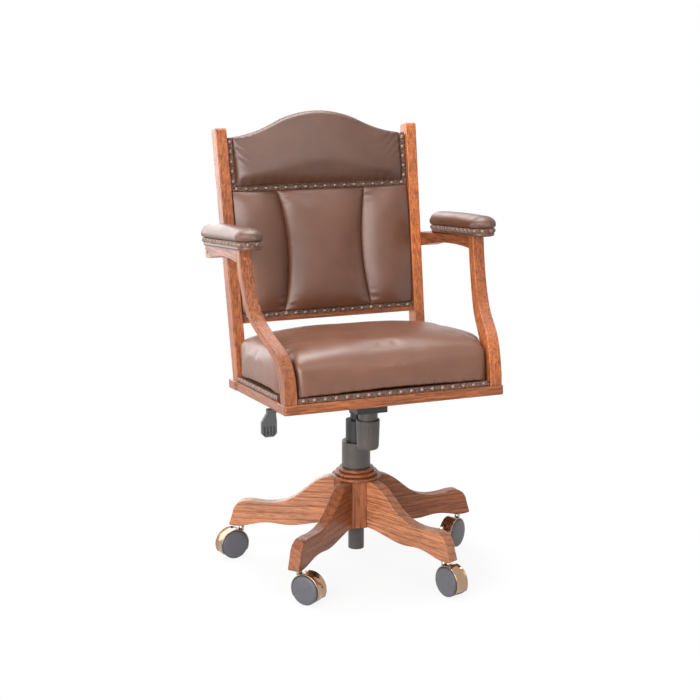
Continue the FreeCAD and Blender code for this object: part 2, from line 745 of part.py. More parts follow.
def pad_strip():
    low = PAD_STRIP_LOW
    behind = PAD_BOARD_INSET - PAD_SKIRT_THICK
    outer = Part.Face(pad_outline(behind - STRIP_THICK, low)).extrude(V(0, 0, STRIP_HEIGHT))
    inner = Part.Face(pad_outline(behind, 0)).extrude(V(0, 0, 2 * PAD_BOARD_THICK))
    return place_pad(outer.cut(inner))


def gimp_strips():
    strips = seat_strips() + back_strips()
    pad = pad_strip()
    return Part.makeCompound(strips + [pad, mirrored(pad)])


def tack(place, out):
    """A domed tack head, flat where it meets its strip."""
    sphere = (TACK_RADIUS ** 2 + TACK_HEIGHT ** 2) / (2 * TACK_HEIGHT)
    rise = sphere - TACK_HEIGHT
    points = [V(0, 0, 0), V(TACK_RADIUS, 0, 0)]
    half_angle = asin(TACK_RADIUS / sphere) / 2
    middle = V(sphere * sin(half_angle), 0, sphere * cos(half_angle) - rise)
    top = V(0, 0, TACK_HEIGHT)
    face = Part.Face(Part.Wire([line(*points), arc(points[1], middle, top), line(top, points[0])]))
    head = face.revolve(ORIGIN, Z_AXIS, 360)
    head.Placement = FreeCAD.Placement(place, FreeCAD.Rotation(Z_AXIS, out))
    return head


def spread(length):
    """Even places along a length, about one pitch apart, from end to end."""
    count = max(2, int(round(length / TACK_PITCH)))
    return [length * (i + 0.5) / count for i in range(count)]


def seat_tacks():
    z = STRIP_LOW + STRIP_HEIGHT / 2
    half = arm_foot_inner() - 2
    front = [tack(V(-half + s, BASE_FRONT - STRIP_THICK, z), -Y_AXIS) for s in spread(2 * half)]
    y0, y1 = NOTCH_FRONT, NOTCH_BACK
    edge0, edge1 = cushion_half_width(y0) + STRIP_THICK, cushion_half_width(y1) + STRIP_THICK
    start, end = V(edge0, y0, z), V(edge1, y1, z)
    run = (end - start).normalize()
    out = V(run.y, -run.x, 0)
    side = [tack(start + run * s, out) for s in spread((end - start).Length)]
    return front + side + [mirrored(head) for head in side]


def back_tacks():
    half = post_inner(RAIL_TOP) - PANEL_GAP
    y = BOTTOM_RAIL_SETBACK - STRIP_THICK
    z = RAIL_TOP - STRIP_HEIGHT / 2
    heads = [tack(V(-half + s, y, z), -Y_AXIS) for s in spread(2 * half)]
    y = PANEL_SETBACK - BACK_STRIP_THICK
    z = HEADREST_LOW - STRIP_HEIGHT / 2
    half = post_inner(z) - PANEL_GAP
    heads += [tack(V(-half + s, y, z), -Y_AXIS) for s in spread(2 * half)]
    for s in spread(HEADREST_SIDE - HEADREST_LOW):
        x = post_inner(HEADREST_LOW + s) - PANEL_GAP - STRIP_HEIGHT / 2
        heads += [tack(V(side * x, y, HEADREST_LOW + s), -Y_AXIS) for side in (-1, 1)]
    return [back_to_seat(head) for head in heads]


def pad_tacks():
    half = PAD_WIDTH / 2 - PAD_BOARD_INSET + PAD_SKIRT_THICK + STRIP_THICK
    long_half = PAD_LENGTH / 2 - PAD_WIDTH / 2
    z = PAD_STRIP_LOW + STRIP_HEIGHT / 2
    heads = []
    for s in spread(2 * long_half):
        heads.append(tack(V(half, -long_half + s, z), X_AXIS))
        heads.append(tack(V(-half, -long_half + s, z), -X_AXIS))
    for s in spread(pi * half):
        angle = s / half
        out = V(cos(angle), sin(angle), 0)
        heads.append(tack(V(0, long_half, z) + out * half, out))
        heads.append(tack(V(0, -long_half, z) - out * half, -out))
    return [place_pad(head) for head in heads]


def tacks():
    pad = pad_tacks()
    return Part.makeCompound(seat_tacks() + back_tacks() + pad + [mirrored(head) for head in pad])


# Base

def leg_profile():
    """Side outline of one leg, from the hub out: S top, blunt tip and a gently arched foot."""
    r0 = HUB_APOTHEM
    tip = LEG_RADIUS
    top = [V(r0, 0, HUB_HIGH), V(93, 0, 205), V(118, 0, 185.5), V(145, 0, 163.5), V(172, 0, 149),
           V(204, 0, 141.8), V(234, 0, 141.5), V(260, 0, 144), V(tip - 36, 0, 143)]
    nose = arc(top[-1], V(tip - 17, 0, 131), V(tip - 9, 0, 112))
    toe_high, toe_low = V(tip, 0, 84), V(tip - 5, 0, 79)
    toe = arc(toe_high, V(tip - 1, 0, 80), toe_low)
    under = [toe_low, V(268, 0, 81.5), V(243, 0, 87.5), V(206, 0, 90), V(172, 0, 86.5),
             V(140, 0, 88.5), V(98, 0, 96), V(r0, 0, HUB_LOW)]
    edges = [smooth(top), nose, line(V(tip - 9, 0, 112), toe_high), toe, smooth(under),
             line(under[-1], top[0])]
    return Part.Face(Part.Wire(edges))


def dowel(gap=0.0):
    start = HUB_APOTHEM - DOWEL_LENGTH / 2
    rods = [Part.makeCylinder(DOWEL_RADIUS + gap, DOWEL_LENGTH + 2 * gap, V(start - gap, 0, z), X_AXIS)
            for z in DOWEL_HEIGHTS]
    return rods


def leg():
    blank = leg_profile().extrude(V(0, LEG_THICK, 0))
    blank.translate(V(0, -LEG_THICK / 2, 0))
    blank = eased(blank, EDGE_ROUND, lambda edge: abs(abs(edge.CenterOfMass.y) - LEG_THICK / 2) < 0.1
                  and edge.CenterOfMass.x > HUB_APOTHEM + 1)
    socket = post_at(STEM_PIN_RADIUS + SNUG + SOCKET_WALL, 0, stem_pin_top() + 1, STEM_CIRCLE)
    counterbore = post_at(SOCKET_FLANGE, 0, leg_foot_height() + 1, STEM_CIRCLE)
    under_cap = post_at(CAP_RADIUS + 10, HUB_HIGH, HUB_HIGH + 10)
    return blank.cut([socket, counterbore, under_cap] + dowel(SNUG))


def leg_angle(index):
    return FIRST_LEG_ANGLE + index * 360.0 / LEG_COUNT


def hub_core():
    count = 2 * LEG_COUNT
    corner = HUB_APOTHEM / cos(pi / count)
    points = []
    for i in range(count):
        angle = radians(leg_angle(0) + (i + 0.5) * 360.0 / count)
        points.append(V(corner * cos(angle), corner * sin(angle), HUB_LOW))
    hub = Part.Face(Part.makePolygon(points + points[:1])).extrude(V(0, 0, HUB_HIGH - HUB_LOW))
    hub = hub.cut(post_at(TUBE_RADIUS, HUB_LOW - 1, HUB_HIGH + 1))
    holes = [turned_copy(rod, leg_angle(i)) for i in range(LEG_COUNT) for rod in dowel(SNUG)]
    return hub.cut(Part.makeCompound(holes))


def leg_dowels():
    return Part.makeCompound([turned_copy(rod, leg_angle(i)) for i in range(LEG_COUNT)
                              for rod in dowel()])


def hub_cap():
    """Stepped, turned disc over the leg roots, each step with a rounded edge."""
    bore = TUBE_RADIUS
    steps = None
    for i in range(CAP_STEPS):
        radius = CAP_RADIUS - i * CAP_SHRINK
        low = HUB_HIGH + i * CAP_STEP
        step = post_at(radius, low, low + CAP_STEP)
        step = eased(step, CAP_STEP * 0.42, lambda edge: edge.Length > 2 * pi * radius - 1)
        steps = step if steps is None else steps.fuse(step)
    return steps.cut(post_at(bore, HUB_HIGH, cap_top() + 1))


def cap_top():
    return HUB_HIGH + CAP_STEPS * CAP_STEP


def bottom_plate():
    return post_at(PLATE_RADIUS, HUB_LOW - PLATE_THICK, HUB_LOW).cut(
        post_at(TUBE_RADIUS, HUB_LOW - PLATE_THICK - 1, HUB_LOW + 1))


# Gas column

def base_tube():
    r, nose, wall = TUBE_RADIUS, NOSE_RADIUS, TUBE_WALL
    step = HUB_LOW - PLATE_THICK
    profile = [(ROD_RADIUS + RUNNING, NOSE_LOW), (nose, NOSE_LOW), (nose, step), (r, step + 6), (r, TUBE_TOP),
               (r - wall, TUBE_TOP), (r - wall, step + 8), (nose - wall, step + 2),
               (nose - wall, NOSE_LOW + NOSE_FLOOR), (ROD_RADIUS + RUNNING, NOSE_LOW + NOSE_FLOOR)]
    return turned(profile)


def column_collar():
    low, high = cap_top(), cap_top() + COLLAR_HEIGHT
    r, wall = COLLAR_RADIUS, COLLAR_WALL
    hole = TUBE_RADIUS + SNUG
    return turned([(r - wall, low), (r, low), (r, high - 1), (r - 1, high), (hole, high),
                   (hole, high - wall), (r - wall, high - wall)])


def guide_bush():
    r_out, r_in = TUBE_RADIUS - TUBE_WALL - SNUG / 5, PRESSURE_RADIUS + SNUG
    return turned([(r_in, TUBE_TOP - BUSH_LENGTH), (r_out, TUBE_TOP - BUSH_LENGTH), (r_out, TUBE_TOP),
                   (r_in, TUBE_TOP)])


THRUST_THICK = 4.0
COLLAR_SEAT = NOSE_LOW + NOSE_FLOOR + THRUST_THICK


def thrust_bearing():
    low = NOSE_LOW + NOSE_FLOOR
    return turned([(ROD_RADIUS + RUNNING, low), (NOSE_RADIUS - TUBE_WALL - 1, low),
                   (NOSE_RADIUS - TUBE_WALL - 1, low + THRUST_THICK), (ROD_RADIUS + RUNNING, low + THRUST_THICK)])


CLIP_GROOVE = 1.2


def piston_rod():
    """Rod with a shoulder on the thrust bearing, a clip groove and the piston inside the tube."""
    r = ROD_RADIUS
    groove_high = NOSE_LOW - RUNNING
    groove_low = groove_high - 1.6
    piston = PRESSURE_RADIUS - PRESSURE_WALL - SNUG
    profile = [(0, groove_low - 3), (r, groove_low - 3), (r, groove_low), (r - CLIP_GROOVE, groove_low),
               (r - CLIP_GROOVE, groove_high), (r, groove_high), (r, COLLAR_SEAT + SNUG),
               (r + 5, COLLAR_SEAT + SNUG), (r + 5, COLLAR_SEAT + 5), (r, COLLAR_SEAT + 5), (r, PISTON_LOW),
               (piston, PISTON_LOW), (piston, PISTON_LOW + PISTON_THICK), (0, PISTON_LOW + PISTON_THICK)]
    return turned(profile)


def retaining_clip():
    """Open spring clip in the rod's groove, under the column's floor."""
    high = NOSE_LOW - RUNNING
    low = high - 1.6
    gap = SNUG / 2
    ring = turned([(ROD_RADIUS - CLIP_GROOVE + gap, low + gap), (ROD_RADIUS + 4, low + gap),
                   (ROD_RADIUS + 4, high - gap), (ROD_RADIUS - CLIP_GROOVE + gap, high - gap)])
    return ring.cut(block(-2, 2, 0, 3 * ROD_RADIUS, low - 1, high + 1))


def pressure_tube():
    r, inner = PRESSURE_RADIUS, PRESSURE_RADIUS - PRESSURE_WALL
    plug = PRESSURE_PLUG
    taper = 1.0
    shoulder = PRESSURE_HIGH - SOCKET_LENGTH
    bore = BUTTON_RADIUS + SNUG
    return turned([(ROD_RADIUS + SNUG, PRESSURE_LOW), (r, PRESSURE_LOW), (r, shoulder),
                   (r - taper, PRESSURE_HIGH), (bore, PRESSURE_HIGH), (bore, PRESSURE_HIGH - plug),
                   (inner, PRESSURE_HIGH - plug), (inner, PRESSURE_LOW + plug),
                   (ROD_RADIUS + SNUG, PRESSURE_LOW + plug)])


def release_button():
    """Valve pin with a shoulder that holds it in the tube."""
    low = PRESSURE_HIGH - PRESSURE_PLUG
    return turned([(0, low - 8), (BUTTON_RADIUS + 2, low - 8), (BUTTON_RADIUS + 2, low - RUNNING),
                   (BUTTON_RADIUS, low - RUNNING), (BUTTON_RADIUS, PRESSURE_HIGH + BUTTON_PROUD),
                   (0, PRESSURE_HIGH + BUTTON_PROUD)])


# Tilt control

HOUSING_HALF = HOUSING_WIDTH / 2


def tilt_housing():
    """Pressed steel channel, its socket on the column and the spring cup under its front end."""
    wall, low = HOUSING_WALL, HOUSING_LOW
    y0, y1 = HOUSING_FRONT, HOUSING_BACK
    side = [V(0, y0, low), V(0, y1, low), V(0, y1, low + HOUSING_BACK_HEIGHT),
            V(0, PIVOT_Y - 8, low + HOUSING_BACK_HEIGHT + 4), V(0, y0, low + HOUSING_FRONT_HEIGHT)]
    blank = Part.Face(Part.makePolygon(side + side[:1])).extrude(V(HOUSING_WIDTH, 0, 0))
    blank.translate(V(-HOUSING_HALF, 0, 0))
    inside = block(-HOUSING_HALF + wall, HOUSING_HALF - wall, y0 + wall, y1 + wall, low + wall,
                   low + 2 * HOUSING_FRONT_HEIGHT)
    shell = blank.cut(inside)
    socket_low = low - SOCKET_LENGTH
    socket = post_at(SOCKET_RADIUS, socket_low, low + 1)
    cup = post_at(CUP_RADIUS, low - CUP_LENGTH, low, 0, BOLT_Y).cut(
        post_at(CUP_RADIUS - CUP_WALL, low - CUP_LENGTH - 1, low - HOUSING_WALL, 0, BOLT_Y))
    body = shell.fuse([socket, cup])
    tube = turned([(0, socket_low - 1), (PRESSURE_RADIUS, socket_low - 1), (PRESSURE_RADIUS, socket_low),
                   (PRESSURE_RADIUS - 1, low), (PRESSURE_RADIUS - 1, low + wall + 1), (0, low + wall + 1)])
    pivot = rod_along_x(PIVOT_RADIUS + SNUG, -HOUSING_WIDTH, HOUSING_WIDTH, PIVOT_Y, PIVOT_Z)
    lever = rod_along_x(LEVER_RADIUS + SNUG, -HOUSING_WIDTH, HOUSING_WIDTH, LEVER_Y, LEVER_Z)
    bolt = post_at(BOLT_RADIUS + SNUG, low - CUP_LENGTH, low + wall + 1, 0, BOLT_Y)
    return body.cut([tube, pivot, lever, bolt]).removeSplitter()


FLANGE_THICK = 3.0
FLANGE_INNER = HOUSING_HALF + 1.0


def pivot_pin():
    half = FLANGE_INNER + FLANGE_THICK + 2
    pin = rod_along_x(PIVOT_RADIUS, -half, half, PIVOT_Y, PIVOT_Z)
    heads = [rod_along_x(PIVOT_RADIUS + 3, side - PIVOT_HEAD / 2, side + PIVOT_HEAD / 2, PIVOT_Y, PIVOT_Z)
             for side in (-half - PIVOT_HEAD / 2, half + PIVOT_HEAD / 2)]
    return pin.fuse(heads).removeSplitter()


def in_seat_frame(y, z):
    """A point of the room's centre plane, in the seat frame."""
    a = radians(SEAT_PITCH)
    up = z - SEAT_HEIGHT
    return y * cos(a) - up * sin(a), y * sin(a) + up * cos(a)


def tilt_plate():
    """Steel plate under the cleats with two ears that turn on the pivot pin."""
    high = -BOARD_THICK
    low = high - TILT_PLATE_THICK
    plate = block(-TILT_PLATE_HALF, TILT_PLATE_HALF, TILT_PLATE_FRONT, TILT_PLATE_BACK, low, high)
    pin_y, pin_z = in_seat_frame(PIVOT_Y, PIVOT_Z)
    x0 = FLANGE_INNER
    ear = block(x0, x0 + FLANGE_THICK, pin_y - FLANGE_REACH, pin_y + FLANGE_REACH, pin_z, low)
    ear = ear.fuse(rod_along_x(FLANGE_REACH, x0, x0 + FLANGE_THICK, pin_y, pin_z))
    ear = ear.cut(rod_along_x(PIVOT_RADIUS + SNUG, x0 - 1, x0 + FLANGE_THICK + 1, pin_y, pin_z))
    bolt_y = in_seat_frame(BOLT_Y, SEAT_HEIGHT - BOARD_THICK)[0]
    slot_half = BOLT_RADIUS + 1
    slot = block(-slot_half, slot_half, bolt_y - slot_half - 10, bolt_y + slot_half + 4, low - 1, high + 1)
    holes = mount_bolt_shanks(SNUG, 0)
    return plate.fuse([ear, mirrored(ear)]).cut([slot] + holes).removeSplitter()


def trunnion_height():
    """Centre of the bolt's cross pin, resting on the tilt plate."""
    a = radians(SEAT_PITCH)
    plate_top = SEAT_HEIGHT - BOLT_Y * tan(a) - BOARD_THICK / cos(a)
    return plate_top + (TRUNNION_RADIUS + RUNNING) / cos(a)


def tension_bolt():
    top = trunnion_height()
    shank = post_at(BOLT_RADIUS, KNOB_LOW + 4, top, 0, BOLT_Y)
    cross = rod_along_x(TRUNNION_RADIUS, -TRUNNION_LENGTH / 2, TRUNNION_LENGTH / 2, BOLT_Y, top)
    return shank.fuse(cross).removeSplitter()


def tension_knob():
    """Ribbed cup of a knob that slides up around the spring cup."""
    r, low, rim = KNOB_RADIUS, KNOB_LOW, KNOB_RIM
    body = turned([(0, low), (r - KNOB_TAPER - 7, low), (r - KNOB_TAPER - 2, low + 2), (r - KNOB_TAPER, low + 8),
                   (r, rim - 2), (r - 1, rim), (0, rim)])
    grooves = []
    for i in range(KNOB_RIBS):
        angle = 2 * pi * i / KNOB_RIBS
        far = r + KNOB_RIB_RADIUS * 0.45
        grooves.append(post_at(KNOB_RIB_RADIUS, low - 1, rim - 12, far * cos(angle), far * sin(angle)))
    bore = post_at(CUP_RADIUS + 1, low + KNOB_FLOOR, rim + 1)
    thread = post_at(BOLT_RADIUS + SNUG, low + 3, rim)
    knob = body.cut(Part.makeCompound(grooves)).cut([bore, thread])
    return moved(knob, y=BOLT_Y)


def tilt_spring():
    """Compression spring between the knob's floor and the cup's roof, ends ground flat."""
    low = KNOB_LOW + KNOB_FLOOR + RUNNING
    high = HOUSING_LOW - HOUSING_WALL - RUNNING
    coil = CUP_RADIUS - CUP_WALL - 2 - SPRING_WIRE / 2
    tall = high - low
    pitch = tall / SPRING_TURNS
    helix = Part.makeHelix(pitch, tall + pitch, coil)
    helix.translate(V(0, 0, low - pitch / 2))
    start = helix.Edges[0].valueAt(helix.Edges[0].FirstParameter)
    profile = Part.Wire(Part.makeCircle(SPRING_WIRE / 2, start, Y_AXIS))
    wire = Part.Wire(helix.Edges).makePipeShell([profile], True, True)
    slab = block(-2 * coil, 2 * coil, -2 * coil, 2 * coil, low, high)
    return moved(wire.common(slab), y=BOLT_Y)


def lever_rod():
    """Cross rod through the housing with the crank that presses the column's button."""
    inner_end = HOUSING_HALF + 5
    rod = rod_along_x(LEVER_RADIUS, -LEVER_REACH - 6, inner_end, LEVER_Y, LEVER_Z)
    crank_low = PRESSURE_HIGH + BUTTON_PROUD + RUNNING
    crank = block(-CRANK_WIDTH / 2, CRANK_WIDTH / 2, LEVER_Y, LEVER_Y + CRANK_LENGTH, crank_low,
                  crank_low + CRANK_THICK)
    stop = rod_along_x(LEVER_RADIUS + 2, HOUSING_HALF + RUNNING, HOUSING_HALF + 3, LEVER_Y, LEVER_Z)
    return rod.fuse([crank, stop]).removeSplitter()


def lever_paddle():
    """Moulded handle: a round boss on the rod and a slotted blade below it."""
    x = -LEVER_REACH
    boss = rod_along_x(LEVER_HUB_RADIUS, x - 12, x + 12, LEVER_Y, LEVER_Z)
    half = PADDLE_WIDTH / 2
    low = LEVER_Z - PADDLE_LENGTH
    neck = 9.0
    centre = x - 7
    blade_points = [V(x - neck, 0, LEVER_Z), V(centre - half, 0, LEVER_Z - 26), V(centre - half, 0, low + 8),
                    V(centre - half + 8, 0, low), V(centre + half - 8, 0, low), V(centre + half, 0, low + 8),
                    V(centre + half, 0, LEVER_Z - 26), V(x + neck, 0, LEVER_Z)]
    blade = Part.Face(Part.makePolygon(blade_points + blade_points[:1])).extrude(V(0, PADDLE_THICK, 0))
    blade.translate(V(0, LEVER_Y - PADDLE_THICK / 2, 0))
    blade = eased(blade, 2.0, lambda edge: along(edge, Y_AXIS) and edge.CenterOfMass.z < LEVER_Z - 20)
    slots = []
    for i in range(4):
        sx = centre + (i - 1.5) * 7.6
        slots.append(block(sx - 1.8, sx + 1.8, LEVER_Y - PADDLE_THICK, LEVER_Y - PADDLE_THICK / 2 + 3,
                           low + 4, low + 26))
    handle = boss.fuse(blade).cut(Part.makeCompound(slots))
    return handle.cut(rod_along_x(LEVER_RADIUS, x - 6, x + 20, LEVER_Y, LEVER_Z)).removeSplitter()


# Casters, modelled with the stem on Z and the wheels trailing along +X

def stem_pin_top():
    return leg_foot_height() + STEM_PIN_LENGTH


def leg_foot_height():
    return 79.8


HOOD_INNER = WHEEL_RADIUS + HOOD_GAP
HOOD_OUTER = HOOD_INNER + HOOD_WALL


def axle_rod(radius, half_length):
    return Part.makeCylinder(radius, 2 * half_length, V(CASTER_TRAIL, -half_length, WHEEL_RADIUS), Y_AXIS)


def caster_hood():
    """Bent sheet hood from eight o'clock over the top to four o'clock."""
    start = -HOOD_DROOP
    sweep = 180 + 2 * HOOD_DROOP
    centre = V(CASTER_TRAIL, -HOOD_HALF_WIDTH, WHEEL_RADIUS)
    a0 = radians(start)
    inner = centre + V(cos(a0), 0, sin(a0)) * HOOD_INNER
    outer = centre + V(cos(a0), 0, sin(a0)) * HOOD_OUTER
    section = Part.Face(Part.makePolygon([inner, outer, outer + V(0, 2 * HOOD_HALF_WIDTH, 0),
                                          inner + V(0, 2 * HOOD_HALF_WIDTH, 0), inner]))
    hood = section.revolve(centre, -Y_AXIS, sweep)
    return hood.cut(post_at(STEM_COLLAR_RADIUS + 0.2, WHEEL_RADIUS, HOOD_OUTER + WHEEL_RADIUS + 10))


def caster_core():
    """Moulded web between the wheels with the axle and the seat of the stem."""
    half = WEB_THICK / 2
    web = Part.makeCylinder(HOOD_INNER, WEB_THICK, V(CASTER_TRAIL, -half, WHEEL_RADIUS), Y_AXIS)
    lower = block(-HOOD_OUTER, CASTER_TRAIL + 2 * HOOD_OUTER, -half, half, -HOOD_OUTER, WHEEL_RADIUS - 15)
    web = web.cut(lower)
    axle = axle_rod(AXLE_RADIUS, HOOD_HALF_WIDTH)
    seat_low = stem_seat()
    room = post_at(STEM_COLLAR_RADIUS, seat_low, HOOD_OUTER + WHEEL_RADIUS)
    pin = post_at(3.0, seat_low - 16, seat_low + 1)
    return web.fuse(axle).cut([room, pin]).removeSplitter()


def stem_seat():
    """Level just over the wheels where the stem's collar stands."""
    return WHEEL_RADIUS + sqrt(WHEEL_RADIUS ** 2 - (CASTER_TRAIL - STEM_COLLAR_RADIUS) ** 2) + 0.8


def caster_stem():
    seat = stem_seat()
    foot = leg_foot_height()
    collar = post_at(STEM_COLLAR_RADIUS, seat, foot - RUNNING)
    pin = post_at(STEM_PIN_RADIUS, seat, stem_pin_top())
    tail = post_at(3.0, seat - 15, seat)
    return collar.fuse([pin, tail]).removeSplitter()


def caster_wheel():
    """One solid wheel with a slightly domed outer face and a recessed inner face."""
    inner = WHEEL_SPLIT / 2
    outer = inner + WHEEL_THICK
    bore = AXLE_RADIUS + SNUG
    r = WHEEL_RADIUS
    wheel = turned([(bore, inner), (10, inner), (10, inner + 6), (r - 6, inner + 6), (r - 6, inner), (r - 1, inner),
                    (r, inner + 1), (r, outer - 3), (r - 2.5, outer - 0.8), (r * 0.5, outer), (0, outer),
                    (0, outer - 2.5), (bore, outer - 2.5)])
    wheel.rotate(ORIGIN, X_AXIS, -90)
    return moved(wheel, x=CASTER_TRAIL, z=WHEEL_RADIUS)


def at_leg(shape, index, name):
    """Sets a caster's part under its leg, trailing in its own direction."""
    angle = radians(leg_angle(index))
    copy = turned_copy(shape, CASTER_ANGLES[name])
    copy.translate(V(STEM_CIRCLE * cos(angle), STEM_CIRCLE * sin(angle), 0))
    return copy


def caster_sockets():
    """Steel grip sleeves pressed into the legs around the stems."""
    inner = STEM_PIN_RADIUS + SNUG
    outer = inner + SOCKET_WALL
    sleeve = turned([(inner, leg_foot_height()), (SOCKET_FLANGE, leg_foot_height()),
                     (SOCKET_FLANGE, leg_foot_height() + 1),
                     (outer, leg_foot_height() + 1), (outer, stem_pin_top() + 1), (0, stem_pin_top() + 1),
                     (0, stem_pin_top() + 0.3), (inner, stem_pin_top() + 0.3)])
    return Part.makeCompound([moved(sleeve, STEM_CIRCLE * cos(radians(leg_angle(i))),
                                    STEM_CIRCLE * sin(radians(leg_angle(i)))) for i in range(LEG_COUNT)])


# Everything, by node name

def build():
    nodes = {}
    for i, name in enumerate(LEG_NAMES):
        nodes["leg_" + name] = turned_copy(leg(), leg_angle(i))
        parts = [at_leg(piece, i, name) for piece in (caster_hood(), caster_core(), caster_stem())]
        nodes["caster_" + name + "_body"] = Part.makeCompound(parts)
        near, far = caster_wheel(), caster_wheel().mirror(ORIGIN, Y_AXIS)
        nodes["caster_" + name + "_wheels"] = Part.makeCompound([at_leg(near, i, name), at_leg(far, i, name)])
    nodes.update(hub_core=hub_core(), hub_cap=hub_cap(), leg_dowels=leg_dowels(),
                 bottom_plate=bottom_plate(), caster_sockets=caster_sockets())
    nodes.update(base_tube=base_tube(), column_collar=column_collar(), guide_bush=guide_bush(),
                 thrust_bearing=thrust_bearing(), retaining_clip=retaining_clip(),
                 piston_rod=piston_rod(), pressure_tube=pressure_tube(), release_button=release_button())
    nodes.update(tilt_housing=tilt_housing(), pivot_pin=pivot_pin(), tilt_spring=tilt_spring(),
                 tension_bolt=tension_bolt(), tension_knob=tension_knob(), lever_rod=lever_rod(),
                 lever_paddle=lever_paddle())
    side = side_board()
    seat = dict(tilt_plate=tilt_plate(), mounting_bolts=mounting_bolts(), seat_cleats=cleats(),
                front_board=end_board(SEAT_FRONT, SIDE_FRONT), back_board=end_board(SIDE_BACK, SEAT_BACK),
                side_boards=Part.makeCompound([side, mirrored(side)]), cushion_base=cushion_base(),
                seat_cushion=seat_cushion())
    post, front_post, rail, pad, board = back_post(), arm_post(), arm_rail(), arm_pad(), arm_pad_board()
    seat.update(back_post_right=post, back_post_left=mirrored(post), bottom_rail=bottom_rail(),
                back_panel=back_panel(), outside_back=outside_back(), headrest_cushion=headrest_cushion(),
                lower_back_cushion=lower_back_cushion())
    seat.update(arm_post_right=front_post, arm_post_left=mirrored(front_post), arm_rail_right=rail,
                arm_rail_left=mirrored(rail), arm_pad_right=pad, arm_pad_left=mirrored(pad),
                arm_pad_boards=Part.makeCompound([board, mirrored(board)]), screw_plugs=plugs(),
                gimp_strips=gimp_strips(), tacks=tacks())
    nodes.update({name: seat_to_room(shape) for name, shape in seat.items()})
    return nodes


os.makedirs("parts", exist_ok=True)
for node, shape in build().items():
    shape.exportStep("parts/" + node + ".step")
    print(node, len(shape.Solids), shape.isValid(), round(shape.Volume / 1000, 1), "cm3")
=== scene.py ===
import math

import bmesh
import bpy
from bpy.props import FloatProperty, FloatVectorProperty, IntProperty, PointerProperty
from mathutils import Matrix, Vector, noise


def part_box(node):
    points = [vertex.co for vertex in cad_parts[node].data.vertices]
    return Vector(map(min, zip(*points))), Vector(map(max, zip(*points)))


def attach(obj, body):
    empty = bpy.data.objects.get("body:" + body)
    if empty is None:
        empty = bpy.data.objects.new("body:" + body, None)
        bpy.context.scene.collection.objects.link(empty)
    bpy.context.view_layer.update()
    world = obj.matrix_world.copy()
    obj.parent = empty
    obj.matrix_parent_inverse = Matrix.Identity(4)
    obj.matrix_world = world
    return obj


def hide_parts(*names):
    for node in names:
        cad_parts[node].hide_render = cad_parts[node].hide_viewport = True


bl_info = {
    "name": "Bankers swivel chair",
    "version": (1, 0, 0),
    "blender": (4, 5, 0),
    "location": "View3D > Sidebar > Chair",
    "description": "Oak and leather desk chair on hooded casters, dressed around its CAD frame",
    "category": "Object",
}

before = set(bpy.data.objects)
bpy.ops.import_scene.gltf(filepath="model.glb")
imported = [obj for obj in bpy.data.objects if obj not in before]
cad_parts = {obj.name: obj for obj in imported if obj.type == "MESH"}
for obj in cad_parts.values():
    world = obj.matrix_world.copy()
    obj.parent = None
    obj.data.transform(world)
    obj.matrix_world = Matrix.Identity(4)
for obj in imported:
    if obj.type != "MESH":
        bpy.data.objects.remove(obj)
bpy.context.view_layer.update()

MM = 0.001
LEGS = ["left", "front_left", "front_right", "right", "back"]
FIRST_LEG_ANGLE = 149.7
# direction in which each caster trails from its stem, degrees from the X axis
TRAIL_ANGLES = {"left": -168.5, "front_left": -54.5, "front_right": -73.0, "right": -144.0,
                "back": 62.0}

SEAT_HEIGHT = 453.7 * MM     # top of the seat boards
SEAT_PITCH = math.radians(5.24)
BACK_RAKE = math.radians(5.04)
POST_FRONT = 144.75 * MM     # front of the back posts, behind the column
# seat frame and back frame, from local coordinates to the room
SEAT = Matrix.Translation((0, 0, SEAT_HEIGHT)) @ Matrix.Rotation(-SEAT_PITCH, 4, "X")
BACK = SEAT @ Matrix.Translation((0, POST_FRONT, 0)) @ Matrix.Rotation(-BACK_RAKE, 4, "X")


def length(label, text, default, low, high):
    return FloatProperty(name=label, description=text, default=default, min=low, max=high, unit="LENGTH")


def tint(label, text, default):
    return FloatVectorProperty(name=label, description=text, subtype="COLOR", size=3, min=0, max=1,
                               default=default)


class ChairSizes(bpy.types.PropertyGroup):
    """Sizes of the upholstery and the trim."""
    seat_crown: length("Seat crown", "Height of the seat cushion over its board", 0.113, 0.08, 0.13)
    headrest_crown: length("Headrest crown", "Thickness of the headrest", 0.036, 0.02, 0.05)
    channel_crown: length("Channel crown", "Thickness of the back's channels", 0.031, 0.015, 0.045)
    pad_crown: length("Arm pad crown", "Height of the leather over the arm board", 0.032, 0.02, 0.04)
    pad_pleats: IntProperty(name="Arm pad pleats", description="Gathers round each end of an arm pad",
                            default=44, min=8, max=80)


class ChairColours(bpy.types.PropertyGroup):
    """Colours of the finishes."""
    oak_light: tint("Oak, light grain", "Colour between the pores", (0.53, 0.157, 0.045))
    oak_dark: tint("Oak, dark grain", "Colour of the grain lines", (0.125, 0.026, 0.010))
    # Painted sheen: a paler, greyer oak for the legs that face the key light, standing in for the sheen on
    # them.
    leg_painted_sheen: tint("Legs, light grain", "Paler oak of the legs", (0.47, 0.190, 0.085))
    leather: tint("Leather", "Colour of the hide", (0.182, 0.073, 0.040))
    leather_deep: tint("Leather, deep", "Colour in the hide's creases", (0.100, 0.035, 0.019))
    braid_light: tint("Braid, light yarn", "Pale yarn of the braid", (0.23, 0.120, 0.082))
    braid_dark: tint("Braid, dark yarn", "Dark yarn of the braid", (0.085, 0.040, 0.028))
    brass: tint("Antique brass", "Heads of the tacks", (0.27, 0.150, 0.112))
    hood: tint("Hood brass", "Antiqued brass of the caster hoods", (0.42, 0.28, 0.18))
    column: tint("Column paint", "Paint of the column covers", (0.066, 0.054, 0.049))
    wheel: tint("Wheels", "Moulded wheel faces", (0.086, 0.086, 0.098))


# Shader building

